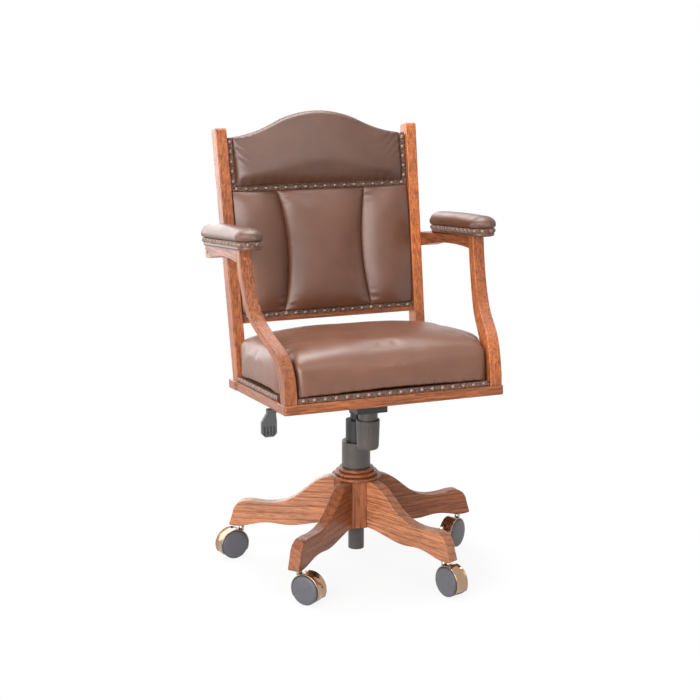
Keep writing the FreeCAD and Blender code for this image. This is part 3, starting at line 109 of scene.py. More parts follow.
def node(tree, kind, inputs=None, **settings):
    """Adds a node, sets its fields, then sets or links its inputs."""
    made = tree.nodes.new(kind)
    for key, value in settings.items():
        setattr(made, key, value)
    for key, value in (inputs or {}).items():
        if isinstance(value, bpy.types.NodeSocket):
            tree.links.new(value, made.inputs[key])
        else:
            made.inputs[key].default_value = value
    return made


def ramp(tree, factor, *stops):
    """A ramp through (place, brightness) stops."""
    made = node(tree, "ShaderNodeValToRGB", {"Fac": factor})
    elements = made.color_ramp.elements
    while len(elements) < len(stops):
        elements.new(0.5)
    for element, (place, value) in zip(elements, stops):
        element.position = place
        element.color = (value, value, value, 1)
    return made.outputs["Color"]


def mixed(tree, factor, first, second, how="MIX"):
    # a mix node's colours are its inputs 6 and 7 and its output 2
    return node(tree, "ShaderNodeMix", {0: factor, 6: first, 7: second}, data_type="RGBA",
                blend_type=how).outputs[2]


def maths(tree, how, first, second=0.0, clamp=False):
    return node(tree, "ShaderNodeMath", {0: first, 1: second}, operation=how, use_clamp=clamp).outputs[0]


def group(name, inputs, outputs):
    """An empty shader node group with sockets of the given kinds, and the sockets of its two end nodes."""
    made = bpy.data.node_groups.new(name, "ShaderNodeTree")
    for way, kinds in (("INPUT", inputs), ("OUTPUT", outputs)):
        for label, kind in kinds.items():
            made.interface.new_socket(label, in_out=way, socket_type="NodeSocket" + kind)
    return made, made.nodes.new("NodeGroupInput").outputs, made.nodes.new("NodeGroupOutput").inputs


def give(tree, out, **values):
    """Links a group's results to its output sockets."""
    for key, value in values.items():
        tree.links.new(value, out[key])


# what most pattern groups give
SURFACE = {"Color": "Color", "Roughness": "Float", "Height": "Float"}


def scaled(tree, vector, scale):
    return node(tree, "ShaderNodeMapping", {"Vector": vector, "Scale": scale}).outputs["Vector"]


def noise_of(tree, vector, scale, detail=4.0, rough=0.55, distortion=0.0):
    made = node(tree, "ShaderNodeTexNoise", {"Vector": vector, "Scale": scale, "Detail": detail,
                                             "Roughness": rough, "Distortion": distortion})
    return made.outputs["Fac"]


def oak_group():
    """Open-pored oak with its grain along X: growth rings round X, pore lines, dashes and lacquer."""
    sockets = {"Vector": "Vector", "Light": "Color", "Dark": "Color", "Figure": "Float"}
    tree, given, out = group("oak_grain", sockets, SURFACE)
    rings = node(tree, "ShaderNodeTexWave", {
        "Vector": scaled(tree, given["Vector"], (0.07, 1, 1)), "Scale": 26.0, "Distortion": 7.0,
        "Detail": 3.0, "Detail Scale": 1.3, "Detail Roughness": 0.55},
        wave_type="RINGS", rings_direction="X", wave_profile="SAW").outputs["Fac"]
    lines = noise_of(tree, scaled(tree, given["Vector"], (7.0, 260, 260)), 1.0, 5.0, 0.62)
    dashes = noise_of(tree, scaled(tree, given["Vector"], (38.0, 850, 850)), 1.0, 2.0, 0.5)
    clouds = noise_of(tree, scaled(tree, given["Vector"], (5, 14, 14)), 1.0, 3.0)
    early = ramp(tree, rings, (0.0, 0.05), (0.30, 0.75), (0.85, 1.0), (1.0, 0.55))
    streak = ramp(tree, lines, (0.36, 0.0), (0.60, 1.0))
    share = mixed(tree, given["Figure"], streak, early)
    base = mixed(tree, share, given["Dark"], given["Light"])
    open_pores = maths(tree, "SUBTRACT", dashes, maths(tree, "MULTIPLY", early, 0.09))
    pores = ramp(tree, open_pores, (0.33, 0.30), (0.42, 1.0))
    specked = mixed(tree, 0.7, base, pores, "MULTIPLY")
    shade = ramp(tree, clouds, (0.3, 0.78), (0.7, 1.15))
    give(tree, out, Color=mixed(tree, 1.0, specked, shade, "MULTIPLY"),
         Roughness=ramp(tree, lines, (0.3, 0.48), (0.7, 0.36)),
         Height=maths(tree, "MULTIPLY", pores, maths(tree, "ADD", streak, 1.0)))


def leather_group():
    """Finished hide: pebbled grain, soft mottling and fine creases."""
    sockets = {"Vector": "Vector", "Hide": "Color", "Deep": "Color"}
    tree, given, out = group("hide_grain", sockets, SURFACE)
    cells = node(tree, "ShaderNodeTexVoronoi", {"Vector": given["Vector"], "Scale": 620.0},
                 feature="DISTANCE_TO_EDGE").outputs["Distance"]
    pebbles = ramp(tree, cells, (0.0, 0.0), (0.16, 0.8), (0.5, 1.0))
    creases = noise_of(tree, scaled(tree, given["Vector"], (55, 55, 90)), 1.0, 6.0, 0.65, 0.6)
    mottle = noise_of(tree, given["Vector"], 16.0, 5.0, 0.6)
    patch = ramp(tree, mottle, (0.32, 0.0), (0.66, 1.0))
    base = mixed(tree, patch, given["Deep"], given["Hide"])
    lighter = mixed(tree, 0.42, base, given["Hide"])
    tinted = mixed(tree, 0.35, lighter, mixed(tree, pebbles, given["Deep"], given["Hide"]))
    give(tree, out, Color=tinted, Roughness=ramp(tree, creases, (0.3, 0.31), (0.7, 0.43)),
         Height=maths(tree, "ADD", maths(tree, "MULTIPLY", pebbles, 0.35), creases))


def braid_group():
    """Woven braid: small crossing yarns in two browns."""
    sockets = {"Vector": "Vector", "Light": "Color", "Dark": "Color"}
    tree, given, out = group("braid_weave", sockets, {"Color": "Color", "Height": "Float"})
    cells = node(tree, "ShaderNodeTexVoronoi", {"Vector": given["Vector"], "Scale": 480.0,
                                               "Randomness": 0.75})
    knots = ramp(tree, cells.outputs["Distance"], (0.0, 1.0), (0.62, 0.0))
    yarn = node(tree, "ShaderNodeSeparateColor", {"Color": cells.outputs["Color"]}).outputs["Red"]
    choice = ramp(tree, yarn, (0.42, 0.0), (0.5, 1.0))
    base = mixed(tree, choice, given["Dark"], given["Light"])
    fuzz = noise_of(tree, given["Vector"], 900.0, 3.0)
    # Painted light and shade: each yarn is lighter on its crown and darker towards its edges, between the
    # yarns.
    shade = ramp(tree, knots, (0.0, 0.45), (0.6, 1.1))
    give(tree, out, Color=mixed(tree, 1.0, base, shade, "MULTIPLY"),
         Height=maths(tree, "ADD", knots, maths(tree, "MULTIPLY", fuzz, 0.3)))


def patina_group():
    """Uneven tone for metal, paint and plastic: cloudy patches and fine scratches."""
    sockets = {"Vector": "Vector", "Base": "Color", "Depth": "Float", "Rough": "Float"}
    tree, given, out = group("patina", sockets, SURFACE)
    cloud = noise_of(tree, given["Vector"], 45.0, 5.0, 0.6)
    fine = noise_of(tree, given["Vector"], 650.0, 3.0, 0.6)
    dark = mixed(tree, 1.0, given["Base"], (0.45, 0.42, 0.40, 1), "MULTIPLY")
    patch = maths(tree, "MULTIPLY", ramp(tree, cloud, (0.35, 1.0), (0.62, 0.0)), given["Depth"])
    uneven = maths(tree, "MULTIPLY", maths(tree, "SUBTRACT", cloud, 0.5), 0.3)
    give(tree, out, Color=mixed(tree, patch, given["Base"], dark),
         Roughness=maths(tree, "ADD", given["Rough"], uneven), Height=fine)


def place_vector(tree, turn=(0, 0, 0), shift=(0, 0, 0)):
    """Object coordinates, turned so that a pattern's X runs along the piece."""
    place = node(tree, "ShaderNodeTexCoord").outputs["Object"]
    return node(tree, "ShaderNodeMapping", {"Vector": place, "Rotation": turn, "Location": shift}
                ).outputs["Vector"]


def finish_material(name, group_name, values, bump, distance, turn=(0, 0, 0), shift=(0, 0, 0), **surface):
    """A material with one pattern group, a bump and plain surface values."""
    name = "chair_" + name      # the frame has its own materials, named for the record's slots
    made = bpy.data.materials.get(name)
    if made:
        return made
    made = bpy.data.materials.new(name)
    made.use_nodes = True
    tree = made.node_tree
    shader = tree.nodes["Principled BSDF"]
    pattern = node(tree, "ShaderNodeGroup", node_tree=bpy.data.node_groups[group_name])
    tree.links.new(place_vector(tree, turn, shift), pattern.inputs["Vector"])
    for key, value in values.items():
        pattern.inputs[key].default_value = value
    tree.links.new(pattern.outputs["Color"], shader.inputs["Base Color"])
    if "Roughness" in pattern.outputs:
        tree.links.new(pattern.outputs["Roughness"], shader.inputs["Roughness"])
    relief = node(tree, "ShaderNodeBump", {"Strength": bump, "Distance": distance,
                                           "Height": pattern.outputs["Height"]})
    tree.links.new(relief.outputs["Normal"], shader.inputs["Normal"])
    for key, value in surface.items():
        shader.inputs[key.replace("_", " ")].default_value = value
    return made


def rgba(colour, painted_light=1.0):
    """A colour for a socket, scaled lighter or darker. The scales that the hides and the oak pass are
    painted light and shade, for how the lamps fall on each piece.
    """
    return (*[share * painted_light for share in colour], 1)


def colours():
    return bpy.context.scene.chair_colours


def sizes():
    return bpy.context.scene.chair_sizes


def oak(name, turn, shift=(0, 0, 0), figure=0.25, painted_light=1.0, light=None):
    """Oak with its grain turned along the piece. The scale after the figure makes this piece's copy of the
    oak lighter or darker, as painted light and shade for how the lamps fall on it; a paler colour given
    last is painted sheen for the lit legs.
    """
    light = rgba(light or colours().oak_light, painted_light)
    values = {"Light": light, "Dark": rgba(colours().oak_dark, painted_light), "Figure": figure}
    return finish_material("oak_" + name, "oak_grain", values, 0.35, 0.0004, turn, shift,
                           Coat_Weight=0.12, Coat_Roughness=0.25, Specular_IOR_Level=0.38)


# Painted light and shade: how much lighter or darker each part's copy of the one leather is made, for how
# the lamps fall on it.
HIDE_PAINTED_LIGHT = {"seat": 0.94, "back": 0.82, "headrest": 0.54, "pads": 0.64}


def leather(part):
    painted_light = HIDE_PAINTED_LIGHT[part]
    values = {"Hide": rgba(colours().leather, painted_light), "Deep": rgba(colours().leather_deep, painted_light)}
    return finish_material("leather_" + part, "hide_grain", values, 0.30, 0.0006, Specular_IOR_Level=0.60)


def braid():
    values = {"Light": rgba(colours().braid_light), "Dark": rgba(colours().braid_dark)}
    return finish_material("braid", "braid_weave", values, 0.8, 0.001, Roughness=0.8, Sheen_Weight=0.2)


def metal(name, colour, rough, depth=0.3, metallic=1.0, bump=0.1):
    values = {"Base": rgba(colour), "Depth": depth, "Rough": rough}
    return finish_material(name, "patina", values, bump, 0.0002, Metallic=metallic)


def plastic(name, colour, rough):
    return metal(name, colour, rough, 0.2, metallic=0.0, bump=0.25)


def zinc():
    return metal("zinc", (0.55, 0.54, 0.52), 0.3)


def black_plastic():
    return plastic("black_plastic", (0.012, 0.012, 0.013), 0.45)


def antique_brass():
    return metal("antique_brass", colours().brass, 0.33, 0.5, 0.55)


def hood_brass():
    return metal("hood_brass", colours().hood, 0.17, 0.12, bump=0.03)


# Mesh building

def new_piece(name, bm, material, place=None, smooth=True):
    """Turns a bmesh into an object at the origin, with its place in its mesh."""
    if place is not None:
        bmesh.ops.transform(bm, matrix=place, verts=bm.verts)
    mesh = bpy.data.meshes.new(name)
    bm.to_mesh(mesh)
    bm.free()
    made = bpy.data.objects.new(name, mesh)
    bpy.context.scene.collection.objects.link(made)
    for finish in material if isinstance(material, (list, tuple)) else [material]:
        mesh.materials.append(finish)
    for face in mesh.polygons:
        face.use_smooth = smooth
    return made


def apply_modifier(piece):
    bpy.ops.object.select_all(action="DESELECT")
    piece.select_set(True)
    bpy.context.view_layer.objects.active = piece
    bpy.ops.object.modifier_apply(modifier=piece.modifiers[0].name)


def modify(piece, kind, **settings):
    """Adds a modifier, sets its fields and applies it."""
    change = piece.modifiers.new("change", kind)
    for key, value in settings.items():
        setattr(change, key, value)
    apply_modifier(piece)


def relax(piece, times):
    modify(piece, "SMOOTH", factor=0.5, iterations=times)


def subdivide(piece):
    modify(piece, "SUBSURF", levels=1, render_levels=1)


def turn_verts(bm, verts, angle, axis):
    bmesh.ops.rotate(bm, cent=(0, 0, 0), matrix=Matrix.Rotation(angle, 3, axis), verts=verts)


def face_outward(bm):
    bmesh.ops.recalc_face_normals(bm, faces=bm.faces)


def fill_holes(bm):
    """Closes every open rim and returns the new faces."""
    rim = [edge for edge in bm.edges if edge.is_boundary]
    return bmesh.ops.holes_fill(bm, edges=rim, sides=0)["faces"]


def cut_flat(bm, height):
    """Cuts away what is below a height, closes the cut and returns its faces."""
    whole = bm.verts[:] + bm.edges[:] + bm.faces[:]
    bmesh.ops.bisect_plane(bm, geom=whole, plane_co=(0, 0, height), plane_no=(0, 0, -1), clear_outer=True)
    return fill_holes(bm)


def add_box(bm, low, high, bevel):
    """A box between two corners with rounded edges."""
    made = bmesh.ops.create_cube(bm, size=1)["verts"]
    size = [b - a for a, b in zip(low, high)]
    centre = [(a + b) / 2 for a, b in zip(low, high)]
    bmesh.ops.scale(bm, vec=size, verts=made)
    bmesh.ops.translate(bm, vec=centre, verts=made)
    edges = list({edge for vert in made for edge in vert.link_edges})
    bmesh.ops.bevel(bm, geom=edges, offset=bevel, segments=5, profile=0.5, material=-1, affect="EDGES")


def puff(piece, held, pressure, reach, frames=20, bending=1.2):
    """Blows the piece up with cloth under pressure. Held points stay, and no point moves past reach."""
    start = [vert.co.copy() for vert in piece.data.vertices]
    pins = piece.vertex_groups.new(name="held")
    for vert in piece.data.vertices:
        pins.add([vert.index], held(vert.co), "REPLACE")
    cloth = piece.modifiers.new("cloth", "CLOTH")
    for key, value in {"quality": 6, "mass": 0.4, "tension_stiffness": 18, "compression_stiffness": 18,
                       "bending_stiffness": bending, "use_pressure": True,
                       "uniform_pressure_force": pressure, "vertex_group_mass": "held"}.items():
        setattr(cloth.settings, key, value)
    cloth.settings.effector_weights.gravity = 0
    cloth.collision_settings.use_collision = False
    cloth.point_cache.frame_start = 1
    cloth.point_cache.frame_end = frames
    scene = bpy.context.scene
    scene.frame_start = 1
    for number in range(1, frames + 1):
        scene.frame_set(number)
    apply_modifier(piece)
    scene.frame_set(1)
    for vert, before in zip(piece.data.vertices, start):
        move = vert.co - before
        if move.length > reach:
            vert.co = before + move * (reach / move.length)


def shape_by(piece, rule):
    """Moves every point of a finished mesh by a rule."""
    for vert in piece.data.vertices:
        vert.co = rule(vert.co)


def smoothstep(low, high, value):
    share = min(1.0, max(0.0, (value - low) / (high - low)))
    return share * share * (3 - 2 * share)


def fold(point, scale, seed):
    """Smooth uneven value from -1 to 1."""
    return noise.noise(Vector(point) * scale + Vector((seed, seed * 1.7, seed * 0.3)))


# Seat cushion

SEAT_FRONT = -0.2445
SEAT_REAR = 0.1775
SEAT_TONGUE_FRONT = -0.178     # behind the arm posts
SEAT_TONGUE_BACK = 0.1405      # in front of the back posts
SEAT_FRONT_HALF = 0.2557       # half width of the cushion near its front
SEAT_TAPER = 0.0208            # half width lost for each metre of depth
FRONT_HALF = 0.2275            # between the arm posts
REAR_HALF = 0.2155             # between the back posts
BOARD_TOP = 0.012              # plywood under the cushion
FRONT_TACK_PITCH = 0.0247
SIDE_TACK_PITCH = 0.0262


def seat_half(y):
    """Half the width of the cushion at a depth."""
    return SEAT_FRONT_HALF - (y + 0.244) * SEAT_TAPER


def seat_top(x, y):
    """Height of the crown over the seat boards: it falls to the sides, the front roll and the rear."""
    side_fall, front_fall, roll_fall, rear_fall = 0.013, 0.019, 0.026, 0.009
    side = abs(x / 0.245)
    front = max(0.0, (-y - 0.105) / 0.14)
    roll = min(0.97, max(0.0, (-y - 0.190) / 0.0545))
    rear = max(0.0, (y - 0.05) / 0.1)
    crown = BOARD_TOP + sizes().seat_crown - side_fall * side ** 2.6 - front_fall * front ** 2
    return crown - roll_fall * (1 - math.sqrt(1 - roll * roll)) - rear_fall * rear ** 2


def cut_below(piece, height):
    """Cuts a piece flat at a height and closes it."""
    bm = bmesh.new()
    bm.from_mesh(piece.data)
    bmesh.ops.triangulate(bm, faces=cut_flat(bm, height))
    bm.to_mesh(piece.data)
    bm.free()
    for face in piece.data.polygons:
        face.use_smooth = True


def seat_cushion():
    bm = bmesh.new()
    flat, low, round_edge, trim = 0.126, BOARD_TOP + 0.0005, 0.02, 0.002
    foot = -0.04    # the boxes reach below the board, so that the cut leaves upright sides
    middle = (SEAT_TONGUE_FRONT + SEAT_TONGUE_BACK) / 2
    half = seat_half(middle) - trim
    add_box(bm, (-half, SEAT_TONGUE_FRONT, foot), (half, SEAT_TONGUE_BACK, flat), round_edge)
    add_box(bm, (-FRONT_HALF, SEAT_FRONT + trim, foot), (FRONT_HALF, 0.0, flat), round_edge)
    add_box(bm, (-REAR_HALF, 0.0, foot), (REAR_HALF, SEAT_REAR - trim, flat), round_edge)
    piece = new_piece("seat_cushion_leather", bm, leather("seat"))
    modify(piece, "REMESH", mode="VOXEL", voxel_size=0.006)
    relax(piece, 9)
    cut_below(piece, low)

    def lift(co):
        share = (co.z - low) / (flat - low)
        wide = seat_half(co.y) / seat_half(middle)
        return Vector((co.x * wide, co.y, low + share * (seat_top(co.x, co.y) - low)))

    def held(co):
        return 1.0 if co.z < low + 0.006 else 0.0

    shape_by(piece, lift)
    puff(piece, held, 1.2, 0.004, bending=8)
    relax(piece, 4)
    subdivide(piece)

    def pull_in(co):
        out = co.copy()
        near = 1 - smoothstep(0.013, 0.04, co.z)    # scallops between the tacks
        if abs(co.y - SEAT_FRONT) < 0.03 and abs(co.x) < 0.224:
            out.y += near * (0.0008 + 0.0007 * math.cos(2 * math.pi * co.x / FRONT_TACK_PITCH))
        if abs(co.x) > 0.235:
            rib = near * (0.0008 + 0.0007 * math.cos(2 * math.pi * co.y / SIDE_TACK_PITCH))
            out.x -= math.copysign(rib, co.x)
        high = smoothstep(0.05, 0.1, co.z)          # uneven padding
        out.z += high * (0.0018 * fold(co, 7, 3) + 0.0004 * fold(co, 26, 5))
        # fine wrinkles along the side edges
        wrinkle = math.exp(-((abs(co.x) - 0.235) / 0.02) ** 2) * smoothstep(-0.245, -0.2, co.y)
        out.z += 0.0003 * wrinkle * math.sin(co.y * 380 + 3 * fold(co, 12, 1))
        return out

    shape_by(piece, pull_in)
    piece.data.transform(SEAT)
    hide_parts("seat_cushion")
    return piece


# Back

RAIL_TOP = 0.160
HEADREST_LOW = 0.467
STRIP = 0.011            # width of the braid
PANEL_FRONT = 0.016
POST_GAP = 0.0025
POST_WIDTH = 0.027
POST_HEIGHT = 0.608
POST_SPAN_LOW = 0.4994   # over the outsides of both posts
POST_SPAN_HIGH = 0.521
SEAM_HALF = 0.096        # half width of the middle channel at its waist
SEAM_FLARE = 0.018
BACK_TACK_PITCH = 0.0245
CREST_HIGH = 0.646
CREST_ROUND = 0.098      # half width of the crest's round middle
CREST_DROP = 0.020
SHOULDER_END = 0.232
SHOULDER_DROP = 0.041
SHOULDER_HOLLOW = 0.007975
SHEET_FRONT = 0.72       # share of the headrest's sheet that is its front
SHEET_ROLL = 0.16        # share that rolls over the crest


def post_inner(height):
    """Half the clear width between the back posts."""
    return (POST_SPAN_LOW + (POST_SPAN_HIGH - POST_SPAN_LOW) * height / POST_HEIGHT) / 2 - POST_WIDTH


def crest(x):
    """Height of the crest line: round in the middle, hollow beside the posts."""
    a = abs(x)
    if a < CREST_ROUND:
        return CREST_HIGH - CREST_DROP * (a / CREST_ROUND) ** 2
    share = (a - CREST_ROUND) / (SHOULDER_END - CREST_ROUND)
    hollow = SHOULDER_HOLLOW * math.sin(math.pi * min(1.0, share))
    return CREST_HIGH - CREST_DROP - SHOULDER_DROP * share - hollow


def seam(height):
    """Half width of the middle channel."""
    share = (height - RAIL_TOP) / (HEADREST_LOW - STRIP - RAIL_TOP)
    return SEAM_HALF + SEAM_FLARE * (2 * share - 1) ** 2


def padding_grid(bm, columns, rows):
    """A flat grid, one unit wide and high, that stands in the X-Z plane."""
    made = bmesh.ops.create_grid(bm, x_segments=columns, y_segments=rows, size=0.5)["verts"]
    turn_verts(bm, made, math.radians(90), "X")
    return made


def close_back(bm, depth):
    """Extrudes the rim of an open sheet back to a plane and closes it."""
    rim = [edge for edge in bm.edges if edge.is_boundary]
    made = bmesh.ops.extrude_edge_only(bm, edges=rim)["geom"]
    for vert in (item for item in made if isinstance(item, bmesh.types.BMVert)):
        vert.co.y = depth
    fill_holes(bm)
    bmesh.ops.triangulate(bm, faces=[face for face in bm.faces if len(face.verts) > 4])
    face_outward(bm)


def channel_place(share, height):
    """Place across the back, and padding, for a share from -1 to 1 of the three channels."""
    full = sizes().channel_crown
    inner, outer = seam(height), post_inner(height) - POST_GAP
    a = abs(share)
    if a < 0.5:
        across = math.sin(math.pi * a)
        bulge = (1 - across ** 2.8) ** 0.55
        x = inner * across
    else:
        across = (1 - math.cos(2 * math.pi * (a - 0.5))) / 2
        bulge = 0.92 * math.sin(math.pi * min(1.0, across * 0.93)) ** 0.72
        x = inner + (outer - inner) * across
    low, high = RAIL_TOP, HEADREST_LOW - STRIP
    end = abs(2 * (height - low) / (high - low) - 1)
    return math.copysign(x, share), 0.0035 + full * bulge * (1 - 0.62 * end ** 7)


def lower_back_cushion():
    bm = bmesh.new()
    verts = padding_grid(bm, 112, 60)
    low, high = RAIL_TOP + 0.0005, HEADREST_LOW - STRIP - 0.0005
    for vert in verts:
        height = low + (vert.co.z + 0.5) * (high - low)
        x, thick = channel_place(vert.co.x * 2, height)
        vert.co = Vector((x, PANEL_FRONT - thick, height))
    close_back(bm, PANEL_FRONT - 0.0003)
    piece = new_piece("lower_back_leather", bm, leather("back"))

    def held(co):
        a = abs(co.x)
        edge = post_inner(co.z) - POST_GAP - a
        tied = abs(a - seam(co.z)) < 0.003 or edge < 0.004 or co.y > PANEL_FRONT - 0.002
        return 1.0 if tied or co.z < low + 0.004 or co.z > high - 0.004 else 0.0

    puff(piece, held, 1.4, 0.004, 14)
    subdivide(piece)

    def crease(co):
        out = co.copy()
        away = abs(abs(co.x) - seam(co.z))
        near = math.exp(-((away - 0.012) / 0.010) ** 2)     # wrinkles at the seams' ends
        end = smoothstep(0.09, 0.145, abs(co.z - (low + high) / 2))
        out.y -= 0.0011 * near * end * math.sin(co.z * 330 + 4 * fold(co, 9, 2))
        out.y -= (0.0018 * fold(co, 8, 4) + 0.0006 * fold(co, 24, 9)) * smoothstep(0.0, 0.02, away)
        return out

    shape_by(piece, crease)
    piece.data.transform(BACK)
    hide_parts("lower_back_cushion")
    return piece


def headrest_point(x_share, t):
    """A point of the headrest's leather: up its front, over the crest and back over the panel."""
    full = sizes().headrest_crown
    x = x_share * (post_inner(0.52) - POST_GAP - STRIP)
    top = crest(x)
    across = (1 - abs(x_share) ** 4) ** 0.5
    roll = 0.004 + 0.010 * across
    low = HEADREST_LOW + 0.0004
    crown = full * across

    def front(share):
        """How far the padding stands out, with its fullest line low on the headrest."""
        rise = min(1.0, share / 0.26)
        swell = 0.30 + 0.70 * math.sin(rise * math.pi / 2)
        fall = 0.62 * max(0.0, (share - 0.26) / 0.74) ** 1.3
        return crown * swell * (1 - fall)

    if t < SHEET_FRONT:
        share = t / SHEET_FRONT
        return Vector((x, PANEL_FRONT - 0.0034 - front(share), low + share * (top - roll - low)))
    if t < SHEET_FRONT + SHEET_ROLL:
        angle = (t - SHEET_FRONT) / SHEET_ROLL * math.pi / 2
        deep = front(1.0) + 0.0034
        return Vector((x, PANEL_FRONT - deep * math.cos(angle), top - roll + roll * math.sin(angle)))
    rest = (t - SHEET_FRONT - SHEET_ROLL) / (1 - SHEET_FRONT - SHEET_ROLL)
    return Vector((x, PANEL_FRONT + rest * 0.0168, top))


def headrest_cushion():
    bm = bmesh.new()
    for vert in padding_grid(bm, 96, 60):
        vert.co = headrest_point(vert.co.x * 2, vert.co.z + 0.5)
    piece = new_piece("headrest_leather", bm, leather("headrest"))
    if piece.data.polygons[0].normal.y > 0:
        piece.data.flip_normals()

    def held(co):
        free = co.y < PANEL_FRONT - 0.008 and co.z > HEADREST_LOW + 0.005
        return 0.0 if free else 1.0

    puff(piece, held, 1.2, 0.004, 14)
    modify(piece, "SOLIDIFY", thickness=0.003, offset=-1)
    subdivide(piece)

    def crease(co):
        out = co.copy()
        if co.y < PANEL_FRONT:
            # scallops between the tacks, slanting creases at the sides and uneven padding
            near = 1 - smoothstep(HEADREST_LOW, HEADREST_LOW + 0.03, co.z)
            out.y += 0.0009 * near * math.cos(2 * math.pi * co.x / BACK_TACK_PITCH)
            side = smoothstep(0.15, 0.21, abs(co.x)) * smoothstep(0.50, 0.54, co.z)
            out.y -= 0.0006 * side * math.sin((co.z - abs(co.x) * 0.9) * 300 + 2 * fold(co, 9, 8))
            out.y -= 0.0016 * fold(co, 10, 7) * smoothstep(0, 0.03, PANEL_FRONT - co.y)
        return out

    shape_by(piece, crease)
    piece.data.transform(BACK)
    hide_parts("headrest_cushion")
    return piece


def outside_back():
    """Leather panel over the back, slightly padded."""
    bm = bmesh.new()
    verts = padding_grid(bm, 60, 60)
    front = PANEL_FRONT + 0.0123
    for vert in verts:
        share, x_share = vert.co.z + 0.5, vert.co.x * 2
        half = post_inner(0.4) - 0.0042
        x = x_share * half
        top = crest(x) - 0.0042
        height = RAIL_TOP + 0.001 + share * (top - RAIL_TOP - 0.001)
        rounding = (1 - abs(x_share) ** 26) ** 0.5 * max(0.0, 1 - abs(2 * share - 1) ** 30) ** 0.5
        vert.co = Vector((x, front + 0.0008 + 0.0037 * rounding, height))
    close_back(bm, front)
    piece = new_piece("outside_back_leather", bm, leather("headrest"))
    piece.data.transform(BACK)
    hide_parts("outside_back")
    return piece


# Arm pads

PAD_HALF = 0.032
PAD_LENGTH = 0.303
PAD_STRAIGHT = PAD_LENGTH / 2 - PAD_HALF    # half the length between the round ends
PAD_SEGMENTS = 96                           # round the pad
PAD_BOARD = 0.020
PAD_MIDDLE = (0.2905, 0.0075, 0.332)        # the right pad, in the seat frame
PAD_TOE = math.asin(8.0 / 239.0)            # the pads spread to the front


def pad_place(side):
    spot = Matrix.Translation((side * PAD_MIDDLE[0], *PAD_MIDDLE[1:]))
    return SEAT @ spot @ Matrix.Rotation(-side * PAD_TOE, 4, "Z")


def stretched_circle(bm, radius, filled):
    """A circle whose two halves are drawn apart along Y to the pad's length."""
    ring = bmesh.ops.create_circle(bm, cap_ends=filled, segments=PAD_SEGMENTS, radius=radius)["verts"]
    turn_verts(bm, ring, math.pi / PAD_SEGMENTS, "Z")
    for vert in ring:
        vert.co.y += math.copysign(PAD_STRAIGHT, vert.co.y)
    return ring


def pad_rings(bm, levels):
    """A long rounded block, drawn up through (height, inset) levels."""
    ring = stretched_circle(bm, PAD_HALF, True)
    top = bm.faces[:]
    for number, (height, inset) in enumerate(levels):
        if number:
            made = bmesh.ops.extrude_face_region(bm, geom=top)["geom"]
            ring = [item for item in made if isinstance(item, bmesh.types.BMVert)]
            top = [item for item in made if isinstance(item, bmesh.types.BMFace)]
        for vert in ring:
            y = max(-PAD_STRAIGHT, min(PAD_STRAIGHT, vert.co.y))
            away = Vector((vert.co.x, vert.co.y - y))
            grow = max(0.001, PAD_HALF - inset) / away.length
            vert.co = Vector((vert.co.x * grow, y + away.y * grow, height))


def arm_pad(side, name):
    crown = sizes().pad_crown
    wide = 0.32     # share of the height where the pad is widest
    profile = []
    for step in range(-3, 17):
        angle = math.radians(90 * step / 16)
        share = wide + (1 - wide) * math.sin(angle) if step > 0 else wide * (1 + step / 3)
        profile.append((share, PAD_HALF * (1 - math.cos(angle * (1.0 if step > 0 else 1.5)) ** 0.8)))
    levels = [(PAD_BOARD + 0.0004 + crown * share, inset) for share, inset in profile]
    levels.insert(1, (levels[0][0] + 0.0005, levels[0][1]))     # keeps the base edge sharp
    bm = bmesh.new()
    pad_rings(bm, levels)
    face_outward(bm)
    piece = new_piece("arm_pad_leather_" + name, bm, leather("pads"))
    modify(piece, "REMESH", mode="VOXEL", voxel_size=0.0025)
    relax(piece, 4)

    def held(co):
        return 1.0 if co.z < PAD_BOARD + 0.004 else 0.0

    puff(piece, held, 0.8, 0.0015, 10, bending=4)
    subdivide(piece)
    pleats = sizes().pad_pleats

    def gather(co):
        out = co.copy()
        end = abs(co.y) - PAD_STRAIGHT
        low = 1 - smoothstep(PAD_BOARD + 0.004, PAD_BOARD + 0.020, co.z)
        if end > -0.012:    # pleats round the ends
            angle = math.atan2(co.x, max(0.0, end) + 0.004)
            amount = smoothstep(-0.012, 0.006, end) * low
            grow = 1 + 0.036 * amount * math.cos(angle * pleats)
            out.x = co.x * grow
            out.y = co.y + math.copysign(max(0.0, end) * (grow - 1), co.y)
        lift = smoothstep(PAD_BOARD + 0.012, PAD_BOARD + 0.03, co.z)
        out.z += lift * (-0.0035 * smoothstep(0.02, -0.15, co.y) + 0.0007 * fold(co, 22, 6))
        return out

    shape_by(piece, gather)
    piece.data.transform(pad_place(side))
    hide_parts("arm_pad_" + name)
    return piece


def pad_skirt(side, name):
    """Leather drawn down over the edge of the arm board, under the studs."""
    bm = bmesh.new()
    section = [(0.0058, 0.0012), (0.0046, 0.0018), (0.0036, 0.0036), (0.0034, 0.0070), (0.0050, 0.0092),
               (0.0050, 0.0198), (0.0059, 0.0198)]
    loops = []
    for inset, height in section:
        ring = stretched_circle(bm, PAD_HALF - inset, False)
        bmesh.ops.translate(bm, vec=(0, 0, height), verts=ring)
        loops.append(list({edge for vert in ring for edge in vert.link_edges}))
    for first, second in zip(loops, loops[1:] + loops[:1]):
        bmesh.ops.bridge_loops(bm, edges=first + second)
    face_outward(bm)
    piece = new_piece("arm_pad_skirt_" + name, bm, leather("pads"), pad_place(side))
    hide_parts("arm_pad_" + name)
    return piece


# Casters

WHEEL_RADIUS = 0.0345
TRAIL = 0.026
STEM_CIRCLE = 0.2866


